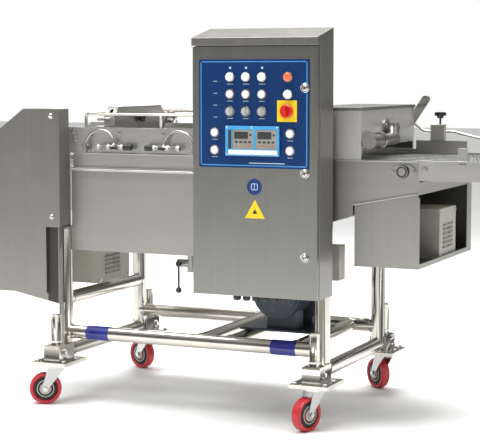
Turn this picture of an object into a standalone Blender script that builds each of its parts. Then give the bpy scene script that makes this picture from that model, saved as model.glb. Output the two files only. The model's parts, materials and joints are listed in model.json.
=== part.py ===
"""Wheeled belt line for wetting meat portions: frame on casters, trough, belt, cabinet.

Built in millimetres and written out in metres. +X is the infeed end, the cabinet
faces -Y, +Z is up and the floor is z = 0.
"""
import math

import bmesh
import bpy
from mathutils import Vector

MM = 0.001
GAP = 0.3

# ---------------------------------------------------------------- driving sizes
HALF_WIDTH = 311.0        # centre line to the outer face of a side wall, and to the leg centres
LEG_X = 545.0             # centre line to the leg centres along the length
TUBE_D = 56.0             # round frame tube
WHEEL_D = 125.0           # caster wheel
WHEEL_W = 38.0
SHAFT_Z = 947.0           # height of the three belt shafts
SPROCKET_R = 28.7         # radius the belt runs on
SHAFT_R = 13.0
BELT_T = 6.0
TROUGH_Z = 603.0          # underside of the trough
SHEET = 3.0               # stainless sheet
CAB_X = 102.0             # left side of the cabinet
CAB_W = 492.0
CAB_Z = 488.0             # underside of the cabinet
CAB_H = 907.0
CAB_FRONT = HALF_WIDTH + 182.0
CAB_BACK = HALF_WIDTH + 30.0
INFEED_END = 1240.0       # free end of the infeed section
DISCHARGE_END = -930.0    # outer end of the drive cover
COVER_TOP = 1159.0
COVER_BREAK = -686.0       # where the drive cover's top starts to slope down
COVER_SLOPE = 0.7295

# ---------------------------------------------------------------- derived sizes
R_TUBE = TUBE_D / 2
CROSS_R = R_TUBE - 1.4
PLATE_Z = WHEEL_D + 33.0  # underside of the caster plates
PLATE_T = 14.0
LEG_FOOT = PLATE_Z + PLATE_T
LEFT_LEG_TOP = TROUGH_Z + 84.0
BRACKET_TOP = LEFT_LEG_TOP + 10.0
RIGHT_LEG_TOP = TROUGH_Z + 127.0
RAIL_Z = LEG_FOOT + 105.0
SIDE_RAIL_Z = LEG_FOOT + 30.0
UPPER_BAR_Z = 409.0
LIP_Z = TROUGH_Z + 325.0
WALL_TOP = 985.0
GUARD_TOP = 1087.0
HOUSING_TOP = 1162.0
HEAD_X = -720.0
DRIVE_X = 850.0
TAIL_X = INFEED_END - 48.0
TROUGH_LEFT = -LEG_X + R_TUBE + 2.0
TROUGH_RIGHT = 908.0
TROUGH_FLAT = 105.0        # where the level part of the trough floor ends
TROUGH_STEP = 660.0
STEP_Z = TROUGH_Z + 215.0
CASTER_Y = HALF_WIDTH + 81.0
BELT_IN = SPROCKET_R + GAP
BELT_OUT = BELT_IN + BELT_T
BELT_HALF = HALF_WIDTH - 21.0
DOOR_Y = -(CAB_BACK + 129.3)
FACE_Y = -CAB_FRONT
PANEL_Y = FACE_Y - GAP
PANEL_T = 3.0


# ---------------------------------------------------------------- materials
def material(name, colour, roughness, metallic):
    mat = bpy.data.materials.new(name)
    mat.use_nodes = True
    shader = mat.node_tree.nodes["Principled BSDF"]
    shader.inputs["Base Color"].default_value = (*colour, 1.0)
    shader.inputs["Roughness"].default_value = roughness
    shader.inputs["Metallic"].default_value = metallic
    return mat


# ---------------------------------------------------------------- solid helpers
def box(lo, hi):
    bm = bmesh.new()
    bmesh.ops.create_cube(bm, size=1.0)
    for v in bm.verts:
        v.co = Vector([(lo[i] + hi[i]) / 2 + v.co[i] * (hi[i] - lo[i]) for i in range(3)])
    return bm


def cylinder(start, end, radius, segments=24, end_radius=None):
    """Round bar from start to end."""
    a = Vector(start)
    b = Vector(end)
    bm = bmesh.new()
    bmesh.ops.create_cone(bm, cap_ends=True, segments=segments, radius1=radius,
                          radius2=radius if end_radius is None else end_radius,
                          depth=(b - a).length)
    turn = Vector((0, 0, 1)).rotation_difference(b - a)
    for v in bm.verts:
        v.co = turn @ v.co + (a + b) / 2
    return bm


def prism(points, axis, lo, hi):
    """Outline in the plane across axis ('X': (y, z), 'Y': (x, z), 'Z': (x, y)) drawn out lo..hi."""
    order = {"X": lambda p, t: (t, p[0], p[1]),
             "Y": lambda p, t: (p[0], t, p[1]),
             "Z": lambda p, t: (p[0], p[1], t)}[axis]
    bm = bmesh.new()
    near = [bm.verts.new(order(p, lo)) for p in points]
    far = [bm.verts.new(order(p, hi)) for p in points]
    bm.faces.new(near)
    bm.faces.new(list(reversed(far)))
    count = len(points)
    for i in range(count):
        j = (i + 1) % count
        bm.faces.new([near[j], near[i], far[i], far[j]])
    bmesh.ops.recalc_face_normals(bm, faces=bm.faces)
    return bm


def ring_prism(outer, inner, lo, hi):
    """Closed band between two loops in (x, z) with equal point counts, drawn out along Y."""
    bm = bmesh.new()
    rows = []
    for points, y in ((outer, lo), (outer, hi), (inner, hi), (inner, lo)):
        rows.append([bm.verts.new((p[0], y, p[1])) for p in points])
    count = len(outer)
    for k in range(4):
        a = rows[k]
        b = rows[(k + 1) % 4]
        for i in range(count):
            j = (i + 1) % count
            bm.faces.new([a[i], a[j], b[j], b[i]])
    bmesh.ops.recalc_face_normals(bm, faces=bm.faces)
    return bm


def lathe(profile, axis, centre, segments=24, closed=False):
    """Turn (radius, along) points about an axis; closed joins the last point to the first."""
    place = {"X": lambda r, c, s, t: (t, r * c, r * s),
             "Y": lambda r, c, s, t: (r * c, t, r * s),
             "Z": lambda r, c, s, t: (r * c, r * s, t)}[axis]
    bm = bmesh.new()
    rings = []
    for radius, along in profile:
        if radius < 1e-6:
            rings.append([bm.verts.new(Vector(place(0, 1, 0, along)) + Vector(centre))])
            continue
        ring = []
        for k in range(segments):
            a = 2 * math.pi * k / segments
            ring.append(bm.verts.new(Vector(place(radius, math.cos(a), math.sin(a), along))
                                     + Vector(centre)))
        rings.append(ring)
    pairs = list(zip(rings, rings[1:]))
    if closed:
        pairs.append((rings[-1], rings[0]))
    for a, b in pairs:
        for k in range(segments):
            n = (k + 1) % segments
            if len(a) == 1 and len(b) == 1:
                continue
            if len(a) == 1:
                bm.faces.new([a[0], b[k], b[n]])
            elif len(b) == 1:
                bm.faces.new([a[k], a[n], b[0]])
            else:
                bm.faces.new([a[k], a[n], b[n], b[k]])
    if not closed:
        for ring in (rings[0], rings[-1]):
            if len(ring) > 1:
                bm.faces.new(ring)
    bmesh.ops.recalc_face_normals(bm, faces=bm.faces)
    return bm


def rounded_path(points, bend):
    """Path with each inner corner replaced by an arc of short steps."""
    pts = [Vector(p) for p in points]
    out = [pts[0]]
    for before, here, after in zip(pts, pts[1:], pts[2:]):
        u = (before - here).normalized()
        v = (after - here).normalized()
        half = u.angle(v) / 2
        if half > 0.497 * math.pi:
            out.append(here)
            continue
        cut = min(bend / math.tan(half), 0.49 * (before - here).length, 0.49 * (after - here).length)
        radius = cut * math.tan(half)
        middle = (u + v).normalized() * (radius / math.sin(half))
        start = u * cut - middle
        end = v * cut - middle
        sweep = start.angle(end)
        steps = 5
        for k in range(steps + 1):
            a = sweep * k / steps
            spoke = (start * math.sin(sweep - a) + end * math.sin(a)) / math.sin(sweep)
            out.append(here + middle + spoke)
    out.append(pts[-1])
    return out


def tube(points, radius, bend=30.0, segments=12):
    """Round bar bent along a path."""
    path = rounded_path(points, bend)
    bm = bmesh.new()
    direction = (path[1] - path[0]).normalized()
    side = direction.orthogonal().normalized()
    rings = []
    for i, here in enumerate(path):
        if 0 < i < len(path) - 1:
            ahead = ((path[i + 1] - here).normalized() + (here - path[i - 1]).normalized()).normalized()
        elif i == 0:
            ahead = (path[1] - path[0]).normalized()
        else:
            ahead = (here - path[i - 1]).normalized()
        side = (side - ahead * side.dot(ahead)).normalized()
        other = ahead.cross(side)
        ring = []
        for k in range(segments):
            a = 2 * math.pi * k / segments
            ring.append(bm.verts.new(here + (side * math.cos(a) + other * math.sin(a)) * radius))
        rings.append(ring)
    for a, b in zip(rings, rings[1:]):
        for k in range(segments):
            n = (k + 1) % segments
            bm.faces.new([a[k], a[n], b[n], b[k]])
    bm.faces.new(list(reversed(rings[0])))
    bm.faces.new(rings[-1])
    bmesh.ops.recalc_face_normals(bm, faces=bm.faces)
    return bm


def to_object(name, bm):
    if bm.calc_volume(signed=True) < 0:
        bmesh.ops.reverse_faces(bm, faces=bm.faces)
    mesh = bpy.data.meshes.new(name)
    bm.to_mesh(mesh)
    bm.free()
    obj = bpy.data.objects.new(name, mesh)
    bpy.context.scene.collection.objects.link(obj)
    return obj


def piece(name, mat, solids, cuts=(), origin=(0, 0, 0)):
    """One sub-part: the solids joined to one body, the cuts taken out, pivot at origin (mm)."""
    solids = list(solids)
    obj = to_object(name, solids[0])
    tools = [(to_object(name + "_add", bm), "UNION") for bm in solids[1:]]
    tools += [(to_object(name + "_cut", bm), "DIFFERENCE") for bm in cuts]
    for tool, kind in tools:
        step = obj.modifiers.new("step", "BOOLEAN")
        step.operation = kind
        step.solver = "EXACT"
        step.object = tool
    if tools:
        graph = bpy.context.evaluated_depsgraph_get()
        done = bpy.data.meshes.new_from_object(obj.evaluated_get(graph))
        old = obj.data
        obj.modifiers.clear()
        obj.data = done
        bpy.data.meshes.remove(old)
        for tool, _ in tools:
            bpy.data.objects.remove(tool, do_unlink=True)
        obj.data.name = name
    shift = Vector(origin)
    bm = bmesh.new()
    bm.from_mesh(obj.data)
    bmesh.ops.remove_doubles(bm, verts=bm.verts, dist=0.01)
    bmesh.ops.dissolve_degenerate(bm, edges=bm.edges, dist=0.005)
    for v in bm.verts:
        v.co = (v.co - shift) * MM
    bm.to_mesh(obj.data)
    bm.free()
    obj.data.materials.clear()
    obj.data.materials.append(mat)
    obj.location = shift * MM
    return obj


# ---------------------------------------------------------------- start clean
for old_object in list(bpy.data.objects):
    bpy.data.objects.remove(old_object, do_unlink=True)

STEEL = material("brushed_stainless", (0.52, 0.51, 0.49), 0.38, 1.0)
TUBE_STEEL = material("polished_tube", (0.62, 0.60, 0.56), 0.22, 1.0)
DARK_STEEL = material("shaded_stainless", (0.40, 0.40, 0.39), 0.42, 1.0)
WIRE = material("belt_wire", (0.66, 0.66, 0.66), 0.30, 1.0)
ZINC = material("zinc_plate", (0.60, 0.61, 0.62), 0.35, 1.0)
RED_TYRE = material("red_polyurethane", (0.62, 0.02, 0.03), 0.45, 0.0)
BLACK = material("black_plastic", (0.02, 0.02, 0.02), 0.45, 0.0)
PANEL_BLUE = material("blue_panel", (0.005, 0.06, 0.30), 0.35, 0.0)
SCREEN_BLUE = material("pale_blue_bezel", (0.45, 0.62, 0.80), 0.35, 0.0)
WHITE = material("white_button", (0.80, 0.82, 0.82), 0.35, 0.0)
YELLOW = material("yellow_plate", (0.85, 0.65, 0.03), 0.40, 0.0)
RED = material("red_knob", (0.70, 0.03, 0.02), 0.35, 0.0)
CAST_GREY = material("blue_grey_casting", (0.30, 0.34, 0.38), 0.50, 0.3)
BEIGE = material("beige_enamel", (0.58, 0.55, 0.47), 0.45, 0.2)


# ---------------------------------------------------------------- frame
def build_frame():
    solids = []
    for sx, top in ((-1, LEFT_LEG_TOP), (1, RIGHT_LEG_TOP)):
        x = sx * LEG_X
        for sy in (-1, 1):
            y = sy * HALF_WIDTH
            solids.append(cylinder((x, y, LEG_FOOT - 1), (x, y, top), R_TUBE))
            plate_in = HALF_WIDTH - R_TUBE - 3
            y0, y1 = sorted((sy * plate_in, sy * (CASTER_Y + 63)))
            solids.append(box((x - 75, y0, PLATE_Z), (x + 75, y1, LEG_FOOT)))
            stem = (x, sy * CASTER_Y, LEG_FOOT + 182)
            solids.append(cylinder((x, sy * CASTER_Y, LEG_FOOT - 1), stem, 19, 20))
            y0, y1 = sorted((sy * HALF_WIDTH, sy * (CASTER_Y + 36)))
            solids.append(box((x - 35, y0, LEG_FOOT - 1), (x + 35, y1, LEG_FOOT + 61)))
        solids.append(cylinder((x, -HALF_WIDTH, SIDE_RAIL_Z), (x, HALF_WIDTH, SIDE_RAIL_Z), R_TUBE - 0.9))
    for sy in (-1, 1):
        y = sy * HALF_WIDTH
        solids.append(cylinder((-LEG_X, y, RAIL_Z), (LEG_X, y, RAIL_Z), R_TUBE - 0.6))
    for x in (40.0, 160.0, 430.0):
        solids.append(cylinder((x, -HALF_WIDTH, RAIL_Z), (x, HALF_WIDTH, RAIL_Z), CROSS_R))
    bar = (-LEG_X, HALF_WIDTH, UPPER_BAR_Z)
    solids.append(cylinder((-LEG_X, -HALF_WIDTH, UPPER_BAR_Z), bar, R_TUBE - 0.9))
    piece("frame", TUBE_STEEL, solids)


# ---------------------------------------------------------------- casters
TRAIL = 43.0
CASTERS = (("fl", -1, -1, (-0.88, -0.475)), ("fr", 1, -1, (-0.35, -0.937)),
           ("bl", -1, 1, (-0.94, 0.34)), ("br", 1, 1, (-0.78, 0.626)))


def turned(bm, direction):
    """Swing a caster piece drawn trailing along +X to trail along direction."""
    angle = math.atan2(direction[1], direction[0])
    c = math.cos(angle)
    s = math.sin(angle)
    for v in bm.verts:
        v.co = Vector((v.co.x * c - v.co.y * s, v.co.x * s + v.co.y * c, v.co.z))
    return bm


def build_casters():
    axle_z = WHEEL_D / 2
    for tag, sx, sy, direction in CASTERS:
        centre = Vector((sx * LEG_X, sy * CASTER_Y, 0))
        head = PLATE_Z - GAP
        side = WHEEL_W / 2 + 1
        solids = [cylinder((0, 0, head - 10), (0, 0, head), 38)]
        for lo in (-side - 5, side):
            outline = ((-30, head - 8), (30, head - 8), (TRAIL + 14, axle_z + 4), (TRAIL + 8, axle_z - 14),
                       (TRAIL - 8, axle_z - 14), (TRAIL - 16, axle_z + 6), (-30, head - 20))
            solids.append(prism(outline, "Y", lo, lo + 5))
        solids.append(cylinder((TRAIL, -side - 9, axle_z), (TRAIL, side + 9, axle_z), 6, 16))
        solids.append(box((-30, -side - 5, head - 13), (30, side + 5, head - 7)))
        solids = [turned(bm, direction) for bm in solids]
        for bm in solids:
            bmesh.ops.translate(bm, verts=bm.verts, vec=centre)
        piece("caster_fork_" + tag, ZINC, solids, origin=(centre.x, centre.y, head))
        r = WHEEL_D / 2
        half = WHEEL_W / 2
        profile = ((6.3, -half), (20, -half), (24, -half + 6), (r - 16, -half + 6), (r - 12, -half),
                   (r - 3, -half), (r, -half + 5), (r, half - 5), (r - 3, half), (r - 12, half),
                   (r - 16, half - 6), (24, half - 6), (20, half), (6.3, half))
        wheel = turned(lathe(profile, "Y", (TRAIL, 0, axle_z), 32, closed=True), direction)
        bmesh.ops.translate(wheel, verts=wheel.verts, vec=centre)
        bmesh.ops.recalc_face_normals(wheel, faces=wheel.faces)
        length = math.hypot(*direction)
        hub = (centre.x + TRAIL * direction[0] / length, centre.y + TRAIL * direction[1] / length, axle_z)
        piece("caster_wheel_" + tag, RED_TYRE, [wheel], origin=hub)


# ---------------------------------------------------------------- trough
def slope_z(x):
    """Underside of the rising trough floor at x."""
    return TROUGH_Z + (x - TROUGH_FLAT) * 178.0 / (TROUGH_STEP - TROUGH_FLAT)


def build_trough():
    w = HALF_WIDTH
    z = TROUGH_Z
    left = TROUGH_LEFT
    right = TROUGH_RIGHT
    outer = ((left, z), (TROUGH_FLAT, z), (TROUGH_STEP, z + 178), (TROUGH_STEP, STEP_Z),
             (right, STEP_Z + 46), (right, WALL_TOP), (350, WALL_TOP), (350, LIP_Z), (left, LIP_Z))
    inner = ((left + SHEET, z + SHEET), (TROUGH_FLAT - 0.5, z + SHEET), (TROUGH_STEP - SHEET, z + 180.4),
             (TROUGH_STEP - SHEET, STEP_Z + 2.6), (right - SHEET, STEP_Z + 49),
             (right - SHEET, WALL_TOP + 20), (left + SHEET, WALL_TOP + 20))
    solids = [prism(outer, "Y", -w, w)]
    for sy in (-1, 1):
        y0, y1 = sorted((sy * (w - 1), sy * (w + 8)))
        solids.append(box((left - 2, y0, LIP_Z - 11), (349, y1, LIP_Z)))
        y0, y1 = sorted((sy * (w - R_TUBE), sy * (w + R_TUBE)))
        solids.append(box((-LEG_X - R_TUBE, y0, LEFT_LEG_TOP + GAP), (left + 2, y1, BRACKET_TOP)))
        x0 = LEG_X - R_TUBE
        x1 = LEG_X + R_TUBE
        foot = RIGHT_LEG_TOP + GAP
        pad = ((x0, foot), (x1, foot), (x1, slope_z(x1) + 1), (x0, slope_z(x0) + 1))
        solids.append(prism(pad, "Y", y0, y1))
    drain_y = -w + 61
    solids.append(cylinder((-20, drain_y, z + 1), (-20, drain_y, z - 70), 17, 20))
    solids.append(cylinder((-18, drain_y, z - 37), (-80, drain_y, z - 37), 15, 20))
    solids.append(cylinder((-62, drain_y, z - 37), (-62, drain_y - 24, z - 37), 8, 16))
    low = SHAFT_Z - BELT_OUT - 4
    cuts = [prism(inner, "Y", -w + SHEET, w - SHEET),
            box((right - 8, -w + 11, low), (right + 4, w - 11, WALL_TOP + 5)),
            box((left - 5, -w + 11, low), (left + 7, w - 11, LIP_Z + 5)),
            cylinder((DRIVE_X, -w - 5, SHAFT_Z), (DRIVE_X, w + 5, SHAFT_Z), SHAFT_R + GAP)]
    piece("trough", STEEL, solids, cuts)
    pivot = (-62, drain_y - 24 - GAP, z - 37)
    arm = [cylinder(pivot, (pivot[0], pivot[1] - 10, pivot[2]), 11, 20),
           cylinder((pivot[0], pivot[1] - 5, pivot[2] - 4), (pivot[0], pivot[1] - 5, pivot[2] - 98), 4, 12),
           lathe(((0, -12), (7, -10), (11.5, -3), (11.5, 3), (7, 10), (0, 12)), "Z",
                 (pivot[0], pivot[1] - 5, pivot[2] - 102), 20)]
    piece("drain_lever", BLACK, arm, origin=pivot)


# ---------------------------------------------------------------- conveyor sides
def build_side(name, sy):
    w = HALF_WIDTH
    jog = WALL_TOP + 3

    def wall(x0, x1, y_in, y_out, z0, z1):
        lo, hi = sorted((sy * y_in, sy * y_out))
        return box((x0, lo, z0), (x1, hi, z1))

    end = DISCHARGE_END + 30
    left = TROUGH_LEFT + 2
    solids = [wall(end, 346, w - 4, w, jog - 2, GUARD_TOP),
              wall(end, 346, w - 10, w + 0.5, GUARD_TOP - 6, GUARD_TOP + 0.1),
              wall(left, 346, w - 14, w - 11, LIP_Z + GAP, jog + 1),
              wall(left, 346, w - 14, w - 1, jog - 2, jog + 2),
              wall(end, left - 9, w - 4, w, BRACKET_TOP + GAP, jog + 1),
              wall(left, 346, w - 13, w + 6, LIP_Z + GAP, LIP_Z + 3)]
    corner = GUARD_TOP - COVER_SLOPE * 130.0
    sloped = ((end + 130, GUARD_TOP + 1), (end - 1, corner), (end - 1, GUARD_TOP + 1))
    lo, hi = sorted((sy * (w - 20), sy * (w + 20)))
    cuts = [cylinder((HEAD_X, lo, SHAFT_Z), (HEAD_X, hi, SHAFT_Z), SHAFT_R + GAP),
            prism(sloped, "Y", lo, hi)]
    if sy > 0:
        solids.append(wall(340, 440, w - 4, w, WALL_TOP + GAP, WALL_TOP + 48))
        solids.append(wall(700, 907.5, w - 4, w, WALL_TOP + GAP, WALL_TOP + 48))
        solids.append(wall(430, 710, w - 4, w, WALL_TOP + GAP, WALL_TOP + 14))
    piece(name, STEEL, solids, cuts)


# ---------------------------------------------------------------- bent supply pipes and their valves
VALVE_MIRROR = -206.0


def build_valves():
    y = -HALF_WIDTH - 20
    z = 1013.0
    for tag, s in (("left", -1), ("right", 1)):
        def x(offset):
            return VALVE_MIRROR + s * offset
        solids = [cylinder((x(66), y, z), (x(178), y, z), 9, 16),
                  cylinder((x(96), y + 2, z), (x(96), -HALF_WIDTH - GAP, z), 7, 16),
                  cylinder((x(150), y + 2, z), (x(150), -HALF_WIDTH - GAP, z), 7, 16),
                  tube(((x(108), y, z + 4), (x(112), y, z + 30), (x(135), y, z + 60), (x(172), y, z + 66),
                        (x(208), y, z + 54), (x(232), y, z + 22), (x(236), y, z - 8)), 6, 40, 10),
                  cylinder((x(236), y + 2, z - 10), (x(236), -HALF_WIDTH - GAP, z - 10), 10, 16),
                  cylinder((x(236), y - 8, z - 10), (x(236), y + 3, z - 10), 10, 16)]
        piece("supply_valve_" + tag, TUBE_STEEL, solids)
        start = x(66 - GAP)
        end = x(30)
        piece("valve_knob_" + tag, BLACK,
              [cylinder((start, y, z), (end, y, z), 12, 16)], origin=(start, y, z))


# ---------------------------------------------------------------- drive cover
def build_drive_cover():
    back = -HALF_WIDTH - 0.8
    front = back - 76.4
    top = COVER_TOP
    foot = 435.0
    low = top - COVER_SLOPE * (COVER_BREAK - DISCHARGE_END)
    outline = ((-525, 700), (-525, top), (COVER_BREAK, top), (DISCHARGE_END, low), (DISCHARGE_END, foot),
               (-589, foot), (-589, 700))
    room = ((-528, 703), (-528, top - 3), (COVER_BREAK + 1, top - 3), (DISCHARGE_END + 3, low - 1.5),
            (DISCHARGE_END + 3, foot - 5), (-592, foot - 5), (-592, 703))
    pan = ((-800, foot + 12), (-746, foot - 2), (-536, foot - 42), (-536, 702), (-800, 702))
    pan_room = ((-797, foot + 14), (-746, foot + 1), (-539, foot - 38), (-539, 697), (-797, 697))
    shell = to_object("shell", prism(outline, "Y", front, back))
    inside = to_object("inside", prism(room, "Y", front + 3, back + 5))
    hollow = shell.modifiers.new("hollow", "BOOLEAN")
    hollow.operation = "DIFFERENCE"
    hollow.solver = "EXACT"
    hollow.object = inside
    graph = bpy.context.evaluated_depsgraph_get()
    done = bpy.data.meshes.new_from_object(shell.evaluated_get(graph))
    bm = bmesh.new()
    bm.from_mesh(done)
    for leftover in (shell, inside):
        bpy.data.objects.remove(leftover, do_unlink=True)
    solids = [bm, prism(pan, "Y", front + 14, front + 40)]
    for x, z in ((-561, 1132), (-561, 739)):
        solids.append(lathe(((0, -6), (6, -5.5), (10, -2), (10, 1), (0, 1)), "Y", (x, front, z), 16))
    cuts = [prism(pan_room, "Y", front + 17, front + 46)]
    piece("drive_cover", STEEL, solids, cuts)


# ---------------------------------------------------------------- control cabinet
def cab_x(x):
    """Place along the cabinet front, kept in proportion when the cabinet width changes."""
    return CAB_X + (x - 102.0) * CAB_W / 492.0


def panel_z(z):
    """Height on the control panel, which keeps its own size below the cabinet's top."""
    return CAB_Z + CAB_H - (1395.0 - z)


LOCK_X = 546.0
LOCK_HEIGHTS = (panel_z(1245.6), panel_z(942.8), CAB_Z + 153.7)
BUTTONS = (("a", 255.7, 1222.2), ("b", 318.2, 1222.2), ("c", 380.8, 1222.2), ("d", 195.3, 1084.0),
           ("e", 195.3, 1021.0), ("f", 490.1, 1083.0), ("g", 490.1, 1022.0))
SELECTORS = (("a", 255.7, 1160.4), ("b", 318.2, 1160.4), ("c", 380.8, 1160.4))
LAMPS = ((255.7, 1283.8), (318.2, 1283.8), (380.8, 1283.8), (481.0, 1283.8), (481.0, 1222.2))
BEZEL_OUT = 18.0
CAP_R = 14.0


def build_cabinet():
    x0 = CAB_X
    x1 = CAB_X + CAB_W
    z0 = CAB_Z
    z1 = CAB_Z + CAB_H
    front = DOOR_Y + GAP
    solids = [box((x0, front, z0), (x1, -CAB_BACK, z1)),
              prism(((-CAB_FRONT - 7, z1 + 1), (-CAB_FRONT - 7, z1 + 29), (-CAB_BACK, z1 + 66),
                     (-CAB_BACK, z1 - 1), (front, z1 - 1), (front, z1 + 1)), "X", x0, x1)]
    for x in (cab_x(170), cab_x(440)):
        for z in (780.0, 880.0):
            solids.append(box((x, -CAB_BACK - 1, z), (x + 40, -HALF_WIDTH - GAP, z + 30)))
    for k in range(6):
        x = cab_x(245 + 38 * k)
        solids.append(cylinder((x, -CAB_BACK - 70, z0 + 1), (x, -CAB_BACK - 70, z0 - 22), 11, 12))
    cuts = [box((x0 + 3, front + 10, z0 + 3), (x1 - 3, -CAB_BACK - 3, z1 - 3)),
            box((x0 + 22, front - 5, z0 + 22), (x1 - 22, front + 15, z1 - 22))]
    piece("cabinet", STEEL, solids, cuts)

    dx0 = x0 + 2
    dx1 = x1 - 2
    dz0 = z0 + 2
    dz1 = z1 - 2
    door_cut = box((dx0 + 2, FACE_Y + 2.5, dz0 + 2), (dx1 - 2, DOOR_Y + 1, dz1 - 2))
    piece("cabinet_door", STEEL, [box((dx0, FACE_Y, dz0), (dx1, DOOR_Y, dz1))], [door_cut],
          origin=(x0, FACE_Y, z0 + CAB_H / 2))
    for k, height in enumerate(LOCK_HEIGHTS):
        centre = (cab_x(LOCK_X), FACE_Y - GAP, height)
        profile = ((0, 0), (12, 0), (12, -5), (7.5, -7), (7.5, -11), (0, -11))
        piece("door_lock_%d" % (k + 1), TUBE_STEEL, [lathe(profile, "Y", centre, 20)], origin=centre)


def build_panel():
    front = PANEL_Y - PANEL_T
    solids = [box((cab_x(131.6), front, panel_z(958)), (cab_x(561.2), PANEL_Y, panel_z(1346.4)))]
    cuts = []
    rings = [(x, z) for _, x, z in BUTTONS] + [(x, z) for _, x, z in SELECTORS]
    for x, z in rings:
        centre = (cab_x(x), front + 1, panel_z(z))
        solids.append(cylinder(centre, (centre[0], front - 5, centre[2]), BEZEL_OUT, 20))
        cuts.append(cylinder((centre[0], front - GAP / 10, centre[2]), (centre[0], front - 9, centre[2]),
                             CAP_R + GAP, 20))
    for x, z in LAMPS:
        centre = (cab_x(x), front + 1, panel_z(z))
        solids.append(cylinder(centre, (centre[0], front - 9, centre[2]), BEZEL_OUT - 1, 20, CAP_R - 2))
    cuts.append(cylinder((cab_x(LOCK_X), front - 2, LOCK_HEIGHTS[0]),
                         (cab_x(LOCK_X), PANEL_Y + 2, LOCK_HEIGHTS[0]), 12.8, 20))
    piece("control_panel", PANEL_BLUE, solids, cuts)

    travel = 3.0
    for tag, x, z in BUTTONS:
        centre = (cab_x(x), front - travel - GAP, panel_z(z))
        profile = ((0, 0), (CAP_R, 0), (CAP_R, -4), (CAP_R - 1.5, -5.5), (0, -6))
        piece("button_" + tag, WHITE, [lathe(profile, "Y", centre, 20)], origin=centre)
    for tag, x, z in SELECTORS:
        centre = (cab_x(x), front - GAP, panel_z(z))
        knob = cylinder(centre, (centre[0], centre[1] - 10, centre[2]), CAP_R, 20)
        grip = box((centre[0] - 4, centre[1] - 19, centre[2] - CAP_R + 2.5),
                   (centre[0] + 4, centre[1] - 9, centre[2] + CAP_R - 2.5))
        piece("selector_" + tag, BLACK, [knob, grip], origin=centre)

    sx = cab_x(478.0)
    sz = panel_z(1163.0)
    plate_back = front - GAP
    plate_front = plate_back - 3
    piece("switch_plate", YELLOW, [box((sx - 38, plate_front, sz - 38), (sx + 38, plate_back, sz + 38))])
    centre = (sx, plate_front - GAP, sz)
    dial = lathe(((0, 0), (24, 0), (24, -8), (20, -12), (0, -12)), "Y", centre, 28)
    grip = box((sx - 7, centre[1] - 30, sz - 20), (sx + 7, centre[1] - 11, sz + 20))
    piece("switch_knob", RED, [dial, grip], origin=centre)

    x0 = cab_x(240.4)
    x1 = cab_x(450.0)
    z0 = panel_z(1001.0)
    z1 = panel_z(1108.6)
    deep = plate_back - 9
    windows = [box((cab_x(268.6), deep - 1, panel_z(1025.5)), (cab_x(350.3), deep + 3, panel_z(1095.5))),
               box((cab_x(360.3), deep - 1, panel_z(1025.5)), (cab_x(441.3), deep + 3, panel_z(1095.5)))]
    piece("screen_unit", SCREEN_BLUE, [box((x0, deep, z0), (x1, plate_back, z1))], windows)


# ---------------------------------------------------------------- infeed section
def build_infeed():
    w = HALF_WIDTH
    x0 = TROUGH_RIGHT + GAP
    solids = []
    cuts = []
    for sy in (-1, 1):
        y0, y1 = sorted((sy * (w - 4), sy * w))
        solids.append(box((x0, y0, 916), (INFEED_END, y1, WALL_TOP + 3)))
    for x in (985.0, 1095.0):
        solids.append(cylinder((x, -w + 2, SHAFT_Z), (x, w - 2, SHAFT_Z), 12, 16))
    solids.append(box((1050, -w + 1, WALL_TOP - 20), (1084, -w + 7, WALL_TOP + 50)))
    cuts.append(cylinder((TAIL_X, -w - 9, SHAFT_Z), (TAIL_X, w + 9, SHAFT_Z), SHAFT_R + GAP))
    piece("infeed_frame", STEEL, solids, cuts)


def stadium(radius, x0, x1):
    """Belt loop outline round the two end shafts."""
    points = []
    steps = 12
    for k in range(steps + 1):
        a = -math.pi / 2 + math.pi * k / steps
        points.append((x1 + radius * math.cos(a), SHAFT_Z + radius * math.sin(a)))
    for k in range(steps + 1):
        a = math.pi / 2 + math.pi * k / steps
        points.append((x0 + radius * math.cos(a), SHAFT_Z + radius * math.sin(a)))
    return points


def build_belt():
    loop = ring_prism(stadium(BELT_OUT, HEAD_X, TAIL_X), stadium(BELT_IN, HEAD_X, TAIL_X),
                      -BELT_HALF, BELT_HALF)
    piece("main_belt", WIRE, [loop])
    w = HALF_WIDTH
    ends = {"head_shaft": (HEAD_X, w + 30, w + 14), "drive_shaft": (DRIVE_X, w + 18, w + 18),
            "tail_shaft": (TAIL_X, w + 7, w + 7)}
    for name, (x, front, back) in ends.items():
        profile = [(SHAFT_R, -front)]
        for k in (-0.84, -0.28, 0.28, 0.84):
            y = k * BELT_HALF
            profile += [(SHAFT_R, y - 7), (SPROCKET_R, y - 7), (SPROCKET_R, y + 7), (SHAFT_R, y + 7)]
        profile.append((SHAFT_R, back))
        piece(name, ZINC, [lathe(profile, "Y", (x, 0, SHAFT_Z), 24)], origin=(x, 0, SHAFT_Z))
    for tag, sy in (("front", -1), ("back", 1)):
        face = sy * (w + GAP)
        outline = []
        for k in range(24):
            a = 2 * math.pi * k / 24
            outline.append((DRIVE_X + 49 * math.cos(a), SHAFT_Z + 27 * math.sin(a)))
        y0, y1 = sorted((face, face + sy * 6))
        plate = prism(outline, "Y", y0, y1)
        hub = cylinder((DRIVE_X, face + sy * 5, SHAFT_Z), (DRIVE_X, face + sy * 19, SHAFT_Z), 22, 24)
        bolts = [cylinder((DRIVE_X + d, face + sy * 5, SHAFT_Z), (DRIVE_X + d, face + sy * 12, SHAFT_Z), 6, 6)
                 for d in (-37, 37)]
        bore = cylinder((DRIVE_X, face - sy * 5, SHAFT_Z), (DRIVE_X, face + sy * 25, SHAFT_Z), SHAFT_R + GAP)
        piece("bearing_" + tag, TUBE_STEEL, [plate, hub] + bolts, [bore])


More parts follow.
